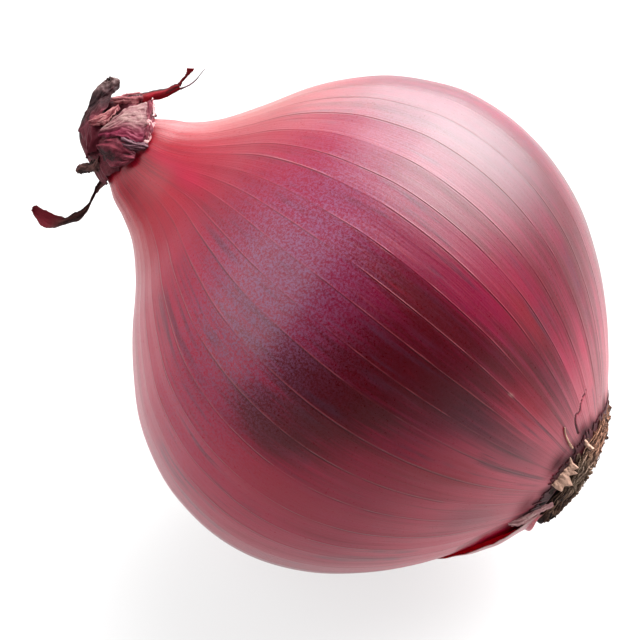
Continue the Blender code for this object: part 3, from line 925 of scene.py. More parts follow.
@dataclass
class LiftedLip:
    """The torn lip of outer skin that stands off the bulb beside the root plate."""

    finish: Material
    torn_finish: Material
    rows: int = 60
    columns: int = 70
    thickness: float = 0.14
    far_turn: float = -158.0
    far_lift: float = -0.3
    stations: tuple[Station, ...] = (
        (75.2, -0.3, -94.0), (76.8, 0.1, -89.0), (78.0, 0.7, -85.0), (79.5, 1.3, -77.0),
        (81.2, 1.9, -68.0), (82.9, 2.2, -60.0), (84.3, 1.9, -51.0), (85.4, 1.6, -43.0),
    )
    tear: TornSheet = TornSheet(
        "lip_tear", "pale_tear",
        ((81.9, -12.6, 9.2), (82.9, -12.0, 9.2), (83.8, -10.8, 9.2), (84.4, -9.2, 9.3), (85.0, -7.7, 9.4),
         (85.7, -6.1, 9.6)),
        ((81.2, -12.1, 9.6), (82.5, -10.8, 9.7), (83.3, -9.4, 9.8), (83.9, -8.2, 9.8), (84.5, -6.9, 9.9),
         (85.3, -5.7, 10.0)),
        bulge=0.15, crumple=0.14, wrinkles=2.0, rag=0.14)

    def build(self) -> list[Piece]:
        """Builds the lip as a thin sheet with a ragged edge, and the pale tear along it."""
        rng = np.random.default_rng(8)
        line = smooth_line(self.stations, self.rows)
        rag = np.convolve(rng.normal(0, 1.0, self.rows + 4), np.ones(3) / 3, "same")[2:-2]
        share = np.linspace(0, 1, self.columns)
        along = np.repeat(line[:, 0][:, None], self.columns, axis=1)
        torn = line[:, 2] + 1.6 * rag
        turn = np.radians(self.far_turn + (torn - self.far_turn)[:, None] * share[None, :])
        climb = np.minimum(1.0, 1.05 * np.sin(0.5 * math.pi * share))[None, :]
        lift = self.far_lift + (line[:, 1][:, None] - self.far_lift) * climb
        ripple = 0.10 * np.sin(14 * turn + 2.0 * along) * share
        along = along + 0.25 * np.sin(9 * turn) * share**2
        points = FORM.skin(along, turn, lift + ripple)
        tone = ease(np.broadcast_to(share, along.shape), 0.955, 1.0)
        blank = np.zeros(tone.size)
        marks = skin_marks(along.ravel(), turn.ravel()) | {
            "pigment": blank, "blush": blank, "bloom_and_sheen": blank,
            "spots": np.stack([blank, blank, 0.85 * tone.ravel() + 0.12], axis=-1),
        }
        faces = grid_faces(self.rows, self.columns, closed=False)
        uvs = grid_uvs(line[:, 0] / FORM.end, share * 0.18, closed=False)
        lip = make_piece("lifted_lip", Surface(points.reshape(-1, 3), faces, uvs, marks), self.finish)
        thicken(lip, self.thickness, 1)
        tear = make_piece("lip_tear", self.tear.surface(), self.torn_finish)
        thicken(tear, self.tear.thickness, 1)
        return [lip, tear]


# ---------------------------------------------------------------- the dry neck


@dataclass
class DryNeck:
    """The crumpled dry neck: a folded core under torn sheets, curls and strips."""

    finishes: dict[str, Material]
    core_stations: tuple[Station, ...] = (
        (1.1, 0.0, 6.75, 6.75), (0.1, 0.1, 6.6, 6.6), (-1.5, 0.9, 6.6, 6.2), (-3.1, 1.1, 6.1, 5.6),
        (-4.8, 1.0, 5.3, 4.7), (-6.5, 0.8, 4.2, 3.7), (-7.9, 1.0, 3.0, 2.6), (-8.8, 1.5, 1.9, 1.5),
        (-9.3, 1.9, 0.7, 0.5),
    )
    broad_folds: tuple[Station, ...] = ((5, 0.085, 0.4, 2.7), (9, 0.070, 1.7, -3.9), (14, 0.045, 0.2, 6.3))
    sharp_folds: tuple[Station, ...] = ((27, 0.018, 0.9, 5.0), (41, 0.012, 2.9, -7.0))
    core_columns: int = 180
    core_rows: int = 70
    sheets: tuple[TornSheet, ...] = (
        TornSheet("leaf_end", "dark_leaf",
                  ((-9.3, 6.7, 0.5), (-9.95, 5.3, 0.55), (-10.0, 3.6, 0.7), (-9.3, 1.6, 1.0),
                   (-8.8, -0.2, 1.2),
                   (-8.3, -2.3, 1.4), (-7.1, -2.9, 2.6), (-5.4, -4.1, 2.7), (-4.4, -5.0, 2.2)),
                  ((-9.0, 7.1, 0.5), (-8.3, 7.75, 0.7), (-7.4, 7.6, 1.1), (-6.9, 6.4, 1.6), (-6.95, 5.0, 2.4),
                   (-6.6, 3.2, 3.6), (-6.3, 1.2, 4.5), (-5.3, -1.2, 5.0), (-4.2, -3.4, 4.6)),
                  bulge=0.5, crumple=0.42, wrinkles=2.6, runs=3.4, length_count=90, width_count=36,
                  tones=((0.0, -0.9), (0.2, -0.7), (0.34, 0.0), (0.52, 0.0), (0.70, 0.9), (1.0, 0.9)),
                  rag=0.12),
        TornSheet("pink_fold", "rosy_fold",
                  ((-7.5, -0.1, 3.9), (-6.9, 1.5, 4.3), (-6.4, 2.6, 4.3), (-5.9, 3.6, 4.0), (-5.3, 4.4, 3.6)),
                  ((-7.2, -0.7, 4.2), (-5.6, 0.3, 5.4), (-5.0, 1.4, 5.6), (-4.9, 3.0, 5.2), (-4.9, 4.3, 4.4)),
                  bulge=0.35, crumple=0.22, wrinkles=3.0),
        TornSheet("rolled_fold", "rosy_fold",
                  ((-6.9, 4.6, 2.6), (-5.9, 5.9, 2.7), (-5.3, 7.0, 2.5), (-4.6, 7.7, 2.2), (-4.0, 7.9, 1.9)),
                  ((-6.0, 4.2, 3.6), (-4.9, 5.0, 3.9), (-3.8, 5.8, 3.7), (-3.1, 6.6, 3.2), (-2.8, 7.2, 2.7)),
                  bulge=0.7, crumple=0.18, wrinkles=3.0),
        TornSheet("front_sheet", "wrinkled_tan",
                  ((-5.0, 0.2, 5.7), (-4.6, 3.0, 5.2), (-3.9, 5.3, 4.5), (-2.6, 6.9, 3.8), (-1.5, 7.9, 3.0)),
                  ((-4.9, -1.2, 6.2), (-3.2, -0.1, 7.1), (-1.8, 0.8, 7.5), (0.2, 1.3, 7.6), (1.7, 2.3, 7.5)),
                  bulge=0.5, crumple=0.17, wrinkles=6.0, runs=3.2, length_count=64, width_count=48,
                  tones=((0.0, 0.0), (0.40, 0.0), (0.85, 0.9), (1.0, 0.9)), sideways=True),
        TornSheet("front_edge", "plum",
                  ((-1.6, 8.4, 2.7), (-0.9, 7.2, 3.9), (0.3, 6.0, 4.9), (1.1, 4.8, 6.0), (1.7, 2.8, 7.1)),
                  ((-2.2, 7.4, 3.4), (-1.0, 5.9, 5.0), (-0.2, 4.9, 6.0), (0.5, 3.6, 6.9), (1.2, 2.3, 7.7)),
                  bulge=0.25, crumple=0.24, wrinkles=3.0),
        TornSheet("grey_strip", "grey_purple",
                  ((-1.9, 0.8, 7.7), (0.2, 1.4, 7.9), (1.6, 2.3, 7.7), (2.2, 2.1, 7.5)),
                  ((-1.4, -0.3, 7.7), (0.0, -0.2, 8.1), (1.8, 0.8, 8.0), (2.3, 1.5, 7.7)),
                  bulge=0.25, crumple=0.20, wrinkles=4.0),
        TornSheet("lower_lobe", "plum",
                  ((-4.0, -2.2, 5.4), (-3.6, -0.9, 6.4), (-2.6, 0.1, 7.3), (-1.2, 0.4, 7.7),
                   (0.3, 0.3, 7.9), (1.3, 0.0, 8.0), (1.75, -0.7, 8.0)),
                  ((-3.9, -2.7, 5.3), (-3.2, -3.3, 5.4), (-1.9, -3.8, 6.1), (-0.4, -3.8, 6.9),
                   (0.9, -2.9, 7.5), (1.6, -1.8, 7.9), (1.8, -0.9, 8.0)),
                  bulge=0.55, crumple=0.26, wrinkles=3.5),
        TornSheet("small_curl", "brown_strip",
                  ((-5.1, -6.9, 1.1), (-4.9, -6.2, 1.7), (-4.1, -5.4, 2.3), (-3.5, -4.4, 2.9),
                   (-3.1, -3.4, 3.8)),
                  ((-4.5, -7.8, 0.9), (-3.5, -7.1, 1.5), (-2.7, -6.2, 2.1), (-2.1, -5.6, 2.9),
                   (-2.1, -4.5, 3.9)),
                  bulge=0.55, crumple=0.18, wrinkles=3.0),
        TornSheet("brown_strip", "brown_strip",
                  ((-0.9, -6.2, 0.6), (-1.3, -7.4, 0.4), (-0.8, -8.6, 0.6), (-0.4, -10.1, 0.9),
                   (-0.85, -12.1, 0.9),
                   (-1.45, -13.3, 0.7), (-2.3, -14.8, 0.3), (-4.5, -15.3, 0.0), (-6.8, -15.8, -0.3),
                   (-7.3, -16.5, -0.5)),
                  ((-0.2, -6.2, 0.9), (-0.2, -7.9, 0.5), (-0.3, -9.5, 0.7), (0.15, -11.8, 0.9),
                   (0.0, -13.6, 0.7),
                   (-1.6, -15.8, 0.3), (-3.0, -17.3, 0.0), (-4.25, -17.9, -0.3), (-5.6, -17.5, -0.6),
                   (-7.2, -16.8, -0.7)),
                  bulge=-0.35, crumple=0.10, wrinkles=2.0, length_count=90, width_count=14,
                  tones=((0.0, 0.0), (0.6, 0.0), (0.78, 1.0), (1.0, 1.0))),
        TornSheet("crimson_strip", "crimson_ribbon",
                  ((-5.0, 6.8, 2.4), (-4.3, 7.6, 2.3), (-3.5, 8.5, 2.1), (-2.3, 9.9, 2.0),
                   (-1.0, 11.2, 2.0), (-0.5, 12.2, 2.2), (0.0, 12.8, 2.4)),
                  ((-3.6, 6.0, 2.9), (-3.1, 6.5, 2.7), (-2.2, 7.3, 2.4), (-1.5, 8.4, 2.2),
                   (-0.4, 9.6, 2.2), (0.2, 10.9, 2.3), (0.9, 12.3, 2.4)),
                  bulge=0.35, crumple=0.05, wrinkles=2.0, length_count=60, width_count=14, rag=0.05,
                  tones=((0.0, -1.0), (0.08, -1.0), (0.26, 0.0), (1.0, 0.0)), sideways=True),
        TornSheet("upper_prong", "crimson_ribbon",
                  ((-0.1, 12.4, 2.3), (0.05, 13.4, 2.7), (0.1, 14.4, 3.1), (-0.05, 15.1, 3.4),
                   (-0.3, 15.5, 3.6)),
                  ((0.6, 12.6, 2.3), (0.45, 13.5, 2.7), (0.6, 14.6, 3.1), (0.75, 15.4, 3.4),
                   (0.8, 16.2, 3.7)),
                  bulge=0.08, crumple=0.04, wrinkles=2.0, width_count=8, rag=0.08),
        TornSheet("lower_prong", "grey_purple",
                  ((0.4, 12.2, 2.4), (1.0, 12.9, 2.4), (1.5, 13.8, 2.2), (1.8, 14.9, 2.0),
                   (1.85, 16.0, 1.8), (1.95, 17.1, 1.6)),
                  ((0.95, 12.2, 2.4), (1.3, 12.9, 2.4), (1.75, 13.8, 2.2), (1.98, 14.9, 2.0),
                   (1.98, 16.0, 1.8), (2.03, 17.1, 1.6)),
                  bulge=0.02, crumple=0.02, wrinkles=1.0, width_count=6, rag=0.02),
        TornSheet("torn_edge_high", "pale_tear",
                  ((-1.9, 8.6, 2.5), (-1.0, 7.9, 3.4), (0.2, 6.5, 4.7)),
                  ((-1.8, 8.2, 2.8), (-1.2, 7.6, 3.7), (0.0, 6.2, 5.0)),
                  bulge=0.05, crumple=0.12, wrinkles=2.0, width_count=8),
        TornSheet("torn_edge_middle", "pale_tear",
                  ((-0.5, 5.3, 6.4), (0.2, 5.5, 6.0), (0.9, 5.6, 5.6)),
                  ((-0.2, 4.7, 6.6), (0.6, 4.8, 6.3), (1.2, 4.5, 6.3)),
                  bulge=0.10, crumple=0.14, wrinkles=2.0, width_count=8),
        TornSheet("torn_edge_low", "pale_tear",
                  ((0.9, 3.8, 7.0), (1.2, 3.0, 7.4), (1.3, 2.2, 7.9)),
                  ((1.8, 3.6, 6.8), (1.95, 2.8, 7.2), (1.8, 2.1, 7.9)),
                  bulge=0.10, crumple=0.14, wrinkles=2.0, width_count=8),
    )

    def core(self) -> Surface:
        """The folded core, closed at its crown."""
        line = smooth_line(self.core_stations, self.core_rows)
        turn = full_turn(self.core_columns)
        height = np.linspace(0, 1, self.core_rows)[:, None]
        fold = np.ones((self.core_rows, self.core_columns))
        for waves, depth, start, twist in self.broad_folds:
            fold += depth * (0.12 + height) * np.sin(waves * turn + start + twist * height)
        for waves, depth, start, twist in self.sharp_folds:
            fold += depth * (0.4 + height) * np.abs(np.sin(waves / 2 * turn + start + twist * height))
        rag = 2.3 * np.exp(-(((degrees_of(turn) - 6.0) / 34.0) ** 2)) - 1.3
        rag += 0.22 * np.sin(11 * turn + 2) + 0.16 * np.sin(29 * turn) + 0.12 * np.sin(43 * turn + 1)
        along = line[:, 0][:, None] + rag[None, :] * (1 - height)
        across = line[:, 1][:, None] + line[:, 2][:, None] * fold * np.sin(turn)[None, :]
        toward = line[:, 3][:, None] * fold * np.cos(turn)[None, :]
        points = np.stack([along, across, toward], axis=-1).reshape(-1, 3)
        faces = grid_faces(self.core_rows, self.core_columns, closed=True)
        faces += lids(self.core_rows, self.core_columns, both=False)
        uvs = grid_uvs(height[:, 0], np.arange(self.core_columns + 1) / self.core_columns * 3, closed=True)
        tone = np.broadcast_to(ease(height, 0.45, 0.8), fold.shape).ravel()
        # painted light and shade for the finish: how far each fold bulges out
        relief_shading = np.clip(0.5 + 3.2 * (fold - 1.0), 0.0, 1.0).ravel()
        return Surface(points, faces, uvs, {"tone": tone, "relief_shading": relief_shading})

    def build(self) -> list[Piece]:
        """Builds the core and every sheet."""
        core = make_piece("neck_core", self.core(), self.finishes["neck_core"])
        thicken(core, 0.14, 0)
        made = [core]
        for sheet in self.sheets:
            piece = make_piece(sheet.name, sheet.surface(), self.finishes[sheet.finish])
            thicken(piece, sheet.thickness, 1)
            made.append(piece)
        return made


# ---------------------------------------------------------------- the root plate


@dataclass
class RootPlate:
    """The corky plate: a furrowed dome, pressed root stubs, matted fibres and torn flakes."""

    cork: Material
    # finish of the dark sheet of painted shade in the gap at the plate
    gap_shade_finish: Material
    centre: float = 0.9
    radius: float = 10.4
    edge: float = 85.2
    rise: float = 2.7
    lean: float = 0.09
    columns: int = 220
    rings: int = 46
    stub_count: int = 110
    fibre_count: int = 520
    flake_count: int = 30
    seed: int = 11

    def rim(self, turn: np.ndarray | float) -> np.ndarray:
        """Radius of the ragged rim."""
        return self.radius * (1 + 0.03 * np.sin(4 * turn + 0.6) + 0.025 * np.sin(9 * turn))

    def face(self, share: np.ndarray | float, turn: np.ndarray | float) -> np.ndarray:
        """Own-axes points on the dome, from its middle at 0 over its rim at 1 and down its side."""
        radius = np.minimum(share, 1.0) * self.rim(turn)
        ridges = 0.25 * np.sin(5 * turn + 9 * share) + 0.15 * np.sin(11 * turn - 6 * share)
        across = self.centre + radius * np.sin(turn)
        dome = self.edge + self.rise * (1 - np.minimum(np.abs(share), 1.0) ** 2.4) - self.lean * across
        dome = dome + ridges * share * (1.5 - share) - 7.0 * np.maximum(share - 1.0, 0.0)
        return np.stack([dome, across, radius * np.cos(turn)], axis=-1)

    @staticmethod
    def marks(points: np.ndarray, lighter: np.ndarray | float) -> dict[str, np.ndarray]:
        """The plate's own colouring: orange-brown above, tan in the middle, dark brown at the low end."""
        across = points[:, 1]
        tone = np.interp(across, (-9.0, -5.0, -2.5, 2.0, 6.0, 11.0), (0.22, 0.26, 0.52, 0.56, 0.50, 0.42))
        warmth = np.interp(across, (-8.0, -4.0, -2.0, 2.0, 5.0, 11.0), (0.55, 0.35, 0.0, 0.10, 0.85, 1.0))
        return {"tone": np.clip(tone + lighter, 0.0, 1.0), "warmth": warmth}

    def dome(self) -> Surface:
        """The dome with furrows, and its side down to the bulb."""
        turn = full_turn(self.columns)
        fray = np.random.default_rng(self.seed).uniform(-1, 1, self.columns)
        rows, shades = [], []
        # painted shade: the plate's side down to the bulb, in the gap, is darkened
        for depth, share in ((83.9, 0.90), (84.4, 0.96), (84.8, 0.985)):
            radius = share * self.rim(turn) + 0.12 * fray
            side = (np.full_like(turn, depth), self.centre + radius * np.sin(turn), radius * np.cos(turn))
            rows.append(np.stack(side, axis=-1))
            shades.append(np.full_like(turn, -0.50))
        for share in np.linspace(1.0, 0.02, self.rings):
            row = self.face(np.full_like(turn, share), turn)
            bump = noise_over(row[:, 2], row[:, 1], 0.9, 3.0)
            bump += 0.6 * noise_over(row[:, 2], row[:, 1], 2.6, 7.0)
            row[:, 0] += 0.40 * bump
            rows.append(row)
            shades.append(np.clip(0.45 * bump - 0.22, -0.4, 0.3))
        faces = grid_faces(len(rows), self.columns, closed=True)
        faces += lids(len(rows), self.columns, both=False)
        points = np.concatenate(rows)
        return Surface(points, faces, None, self.marks(points, np.concatenate(shades)))

    def strand(self, centres: np.ndarray, radii: np.ndarray, sides: int, lighter: float,
               flat: float = 1.0) -> Surface:
        """A tapering strand round a line of points.

        Args:
            centres: the line.
            radii: the strand's radius at each point.
            sides: how many sides its section has.
            lighter: how much lighter it is than the plate round it.
            flat: how flat its section is.

        Returns:
            The strand, closed at both ends.
        """
        ahead = unit(np.gradient(centres, axis=0))
        out = centres - np.array([0.0, self.centre, 0.0])
        out[:, 0] = 0.8 * self.radius
        side = unit(np.cross(ahead, out))
        face = np.cross(side, ahead)
        angles = full_turn(sides)[None, :, None]
        ring = side[:, None] * np.cos(angles) + flat * face[:, None] * np.sin(angles)
        points = (centres[:, None] + ring * radii[:, None, None]).reshape(-1, 3)
        faces = grid_faces(len(centres), sides, closed=True) + lids(len(centres), sides)
        return Surface(points, faces, None, self.marks(points, lighter))

    def stubs(self, rng: np.random.Generator) -> Surface:
        """Short cut root stubs, sunk in the dome and pressed over sideways."""
        made = []
        for index in range(self.stub_count):
            share = 0.97 * math.sqrt((index + 0.5) / self.stub_count)
            turn = index * math.pi * (3 - math.sqrt(5))
            splay = rng.uniform(0.75, 1.30)
            way = turn + rng.choice((-1.0, 1.0)) * rng.uniform(0.7, 1.7)
            lean = math.sin(splay)
            lead = np.array([math.cos(splay), lean * math.sin(way), lean * math.cos(way)])
            foot = self.face(share, turn) - np.array([0.45, 0.0, 0.0])
            tall, thick = rng.uniform(0.8, 1.5), rng.uniform(0.18, 0.42)
            steps = np.array([0.0, 0.3, 0.6, 0.85, 1.0])
            bend = rng.uniform(-0.35, 0.35, 3)
            centres = foot + lead * (tall * steps)[:, None] + bend * (steps**2)[:, None]
            radii = thick * np.array([1.2, 1.0, 0.9, 0.8, 0.5])
            made.append(self.strand(centres, radii, 8, float(rng.uniform(-0.25, 0.30))))
        return together(made)

    def fibres(self, rng: np.random.Generator) -> Surface:
        """Matted fibres that lie over the face and round the rim, most of them along the rim."""
        made = []
        steps = np.linspace(0, 1, 9)
        taper = np.array([0.4, 0.8, 1, 1, 1, 0.9, 0.8, 0.6, 0.25])
        for _ in range(self.fibre_count):
            share = math.sqrt(rng.uniform(0.15, 1.12))
            turn = rng.uniform(0, 2 * math.pi)
            span = rng.choice((-1.0, 1.0)) * rng.uniform(1.4, 5.0) / (self.radius * share)
            turns = turn + span * steps
            drift = rng.uniform(-0.12, 0.12) * steps + 0.015 * np.sin(6 * steps + rng.uniform(0, 6))
            centres = self.face(np.clip(share + drift, 0.1, 1.10), turns)
            centres[:, 0] += 0.04 + rng.uniform(0.0, 0.30) * np.sin(math.pi * steps)
            over = max(share - 0.9, 0.0) * 1.6
            centres[:, 1] += over * np.sin(turns)
            centres[:, 2] += over * np.cos(turns)
            radii = rng.uniform(0.05, 0.17) * taper
            made.append(self.strand(centres, radii, 6, float(rng.uniform(-0.30, 0.42)), 0.6))
        return together(made)

    def flakes(self, rng: np.random.Generator) -> Surface:
        """Small torn flakes of dry skin round the plate, pressed on the bulb."""
        made = []
        rows, columns = np.linspace(0, 1, 10), np.linspace(-1, 1, 7)
        for index in range(self.flake_count):
            turn = 2 * math.pi * index / self.flake_count + rng.uniform(-0.06, 0.06)
            width = rng.uniform(0.3, 0.9)
            reach = rng.uniform(0.5, 0.9) if math.cos(turn) > -0.2 else rng.uniform(0.8, 2.2)
            taper = np.interp(rows, (0, 0.3, 0.8, 1), (1.0, 1.0, 0.6, 0.12))
            along = self.edge - 0.7 - reach * rows
            hug = FORM.radius(np.minimum(along, FORM.end)) + 0.10 + 0.30 * rows * rng.uniform(0.2, 1.0)
            radius = np.maximum(hug, (1 - rows * 2) * 9.9)
            turns = turn + (columns[None, :] * (width * taper)[:, None]) / radius[:, None]
            spread = radius[:, None] + 0.08 * np.cos(columns * 2.6 + rng.uniform(0, 6))[None, :]
            slant = 0.3 * rng.uniform(-1, 1)
            points = np.stack([
                along[:, None] + slant * columns[None, :] * rows[:, None],
                FORM.bow(np.minimum(along, FORM.end))[:, None] + spread * np.sin(turns),
                spread * np.cos(turns),
            ], axis=-1).reshape(-1, 3)
            faces = grid_faces(len(rows), len(columns), closed=False)
            made.append(Surface(points, faces, None, self.marks(points, rng.uniform(-0.3, 0.25))))
        return together(made)

    def gap_shade_sheet(self) -> Surface:
        """A dark ragged sheet of painted shade in the gap between the outer skin and the plate."""
        rows, columns = np.linspace(0, 1, 12), 660
        turn = full_turn(columns)
        ways = np.array([(math.cos(angle), math.sin(angle)) for angle in turn]).T
        wander = noise_over(*ways, 4.0, 2.0)
        teeth = np.abs(noise_over(*ways, 16.0, 5.0)) + 0.6 * np.abs(noise_over(*ways, 47.0, 1.0))
        hollow = np.where(np.cos(turn) > 0, np.exp(-(((np.sin(turn) + 0.04) / 0.16) ** 2)), 0.0)
        start = 83.9 + 0.5 * wander - 1.5 * teeth - 0.6 * hollow
        along = start[None, :] + (84.65 - start)[None, :] * rows[:, None]
        lift = 0.12 + 0.25 * teeth[None, :] * (1 - rows[:, None])
        points = FORM.skin(along, np.broadcast_to(turn, along.shape), lift).reshape(-1, 3)
        uvs = grid_uvs(rows * 0.3, np.arange(columns + 1) / columns * 6, closed=True)
        # painted light and shade for the finish, rising with the torn teeth
        marks = {"tone": np.zeros(len(points)), "relief_shading": np.tile(np.clip(0.2 + 0.9 * teeth, 0, 1), len(rows))}
        return Surface(points, grid_faces(len(rows), columns, closed=True), uvs, marks)

    @staticmethod
    def torn_piece(left: Sequence[Station], right: Sequence[Station], lift: tuple[float, float]) -> Surface:
        """A pale ragged piece between a smooth edge and a spiky one.

        Args:
            left: the smooth edge, as (along, across) seen from the front.
            right: the spiky edge, kept sharp.
            lift: height toward the viewer at along 83.5, and how much it drops for each mm on.

        Returns:
            The piece as one sheet.
        """
        rows, columns = 61, 16
        first = smooth_line(left, rows)
        places = np.linspace(0, 1, len(right))
        second = [np.interp(np.linspace(0, 1, rows), places, [spot[k] for spot in right]) for k in (0, 1)]
        share = np.linspace(0, 1, columns)
        flat = between(first, np.stack(second, axis=-1), share).reshape(-1, 2)
        height = 0.5 * noise_over(*flat.T, 0.9, 1.7) + 0.3 * noise_over(*flat.T, 2.5, 4.1)
        toward = lift[0] - lift[1] * (flat[:, 0] - 83.5) + height
        toward += 0.5 * np.sin(math.pi * np.tile(share, rows))
        seen = 1 / (1 + toward / VIEW_DISTANCE)
        along, across = (middle + (flat[:, k] - middle) * seen for k, middle in enumerate(VIEW_MIDDLE[:2]))
        points = np.stack([along, across, toward], axis=-1)
        marks = {"tone": 1.25 - 0.5 * np.abs(height), "warmth": np.full(len(points), 0.35)}
        return Surface(points, grid_faces(rows, columns, closed=False), None, marks)

    def tan_chunk(self) -> Surface:
        """The pale ragged piece that stands up beside the plate, with spiky ends."""
        left = ((83.8, -3.65), (83.75, -2.9), (83.94, -1.5), (84.33, 0.34), (83.94, 1.6))
        right = ((85.2, -3.7), (86.2, -3.56), (85.97, -2.6), (87.0, -1.8), (85.55, -0.86), (86.6, 0.25),
                 (85.6, 0.22), (86.2, 1.04), (85.0, 1.07), (84.1, 1.55))
        return self.torn_piece(left, right, (12.7, 0.75))

    def upper_flake(self) -> Surface:
        """The olive-tan flake that bends over the rim above the chunk."""
        left = ((82.9, 6.4), (83.6, 6.1), (84.4, 5.4), (85.3, 5.0), (86.3, 4.9))
        right = ((83.0, 5.6), (84.0, 5.1), (84.3, 4.5), (85.2, 4.3), (86.2, 4.5))
        return self.torn_piece(left, right, (11.3, 0.55))

    def thin_flake(self) -> Surface:
        """The narrow pale flake that lies over the skin above the plate."""
        rows, columns = 20, 6
        first = smooth_line(((79.4, 4.7), (80.3, 3.9), (81.4, 3.4), (82.2, 3.1), (82.7, 2.9)), rows)
        second = smooth_line(((79.5, 4.4), (80.4, 3.6), (81.3, 3.1), (82.1, 2.7), (82.6, 2.7)), rows)
        share = np.linspace(0, 1, columns)
        flat = between(first, second, share).reshape(-1, 2)
        radius = FORM.radius(np.minimum(flat[:, 0], FORM.end)) + 0.22
        toward = np.sqrt(np.maximum(radius**2 - (flat[:, 1] - FORM.bow(flat[:, 0])) ** 2, 1.0))
        toward += 0.15 * np.sin(math.pi * np.tile(share, rows))
        points = np.concatenate([flat, toward[:, None]], axis=-1)
        marks = {"tone": np.full(len(flat), 0.92), "warmth": np.full(len(flat), 0.45)}
        return Surface(points, grid_faces(rows, columns, closed=False), None, marks)

    def build(self) -> list[Piece]:
        """Builds the dome, stubs, fibres and flakes, and the dark sheet of painted shade in the gap."""
        rng = np.random.default_rng(self.seed)
        made = [
            make_piece("plate_dome", self.dome(), self.cork),
            make_piece("root_stubs", self.stubs(rng), self.cork),
            make_piece("rim_fibres", self.fibres(rng), self.cork),
        ]
        sheets = {"rim_flakes": self.flakes(rng), "tan_chunk": self.tan_chunk(),
                  "upper_flake": self.upper_flake(), "thin_flake": self.thin_flake()}
        for name, sheet in sheets.items():
            piece = make_piece(name, sheet, self.cork)
            thicken(piece, 0.16, 1)
            made.append(piece)
        # painted shade: a dark sheet laid in the gap between the skin and the plate
        torn = make_piece("painted_gap_shade", self.gap_shade_sheet(), self.gap_shade_finish)
        thicken(torn, 0.08, 0)
        return [*made, torn]


# ---------------------------------------------------------------- floor, light and camera


@dataclass(frozen=True)
class Glow:
    """A soft-edged bright patch of the room, in degrees; azimuth 0 is the camera's, + to its right."""

    name: str
    azimuth: float
    elevation: float
    inner: float
    outer: float
    strength: float

    @property
    def way(self) -> np.ndarray:
        """Its direction from the onion."""
        ahead = FORM.axes.toward * np.array([1.0, 1.0, 0.0])
        ahead /= np.linalg.norm(ahead)
        right = np.array([-ahead[1], ahead[0], 0.0])
        turn, rise = math.radians(self.azimuth), math.radians(self.elevation)
        level = math.cos(turn) * ahead + math.sin(turn) * right
        return math.cos(rise) * level + math.sin(rise) * np.array([0.0, 0.0, 1.0])


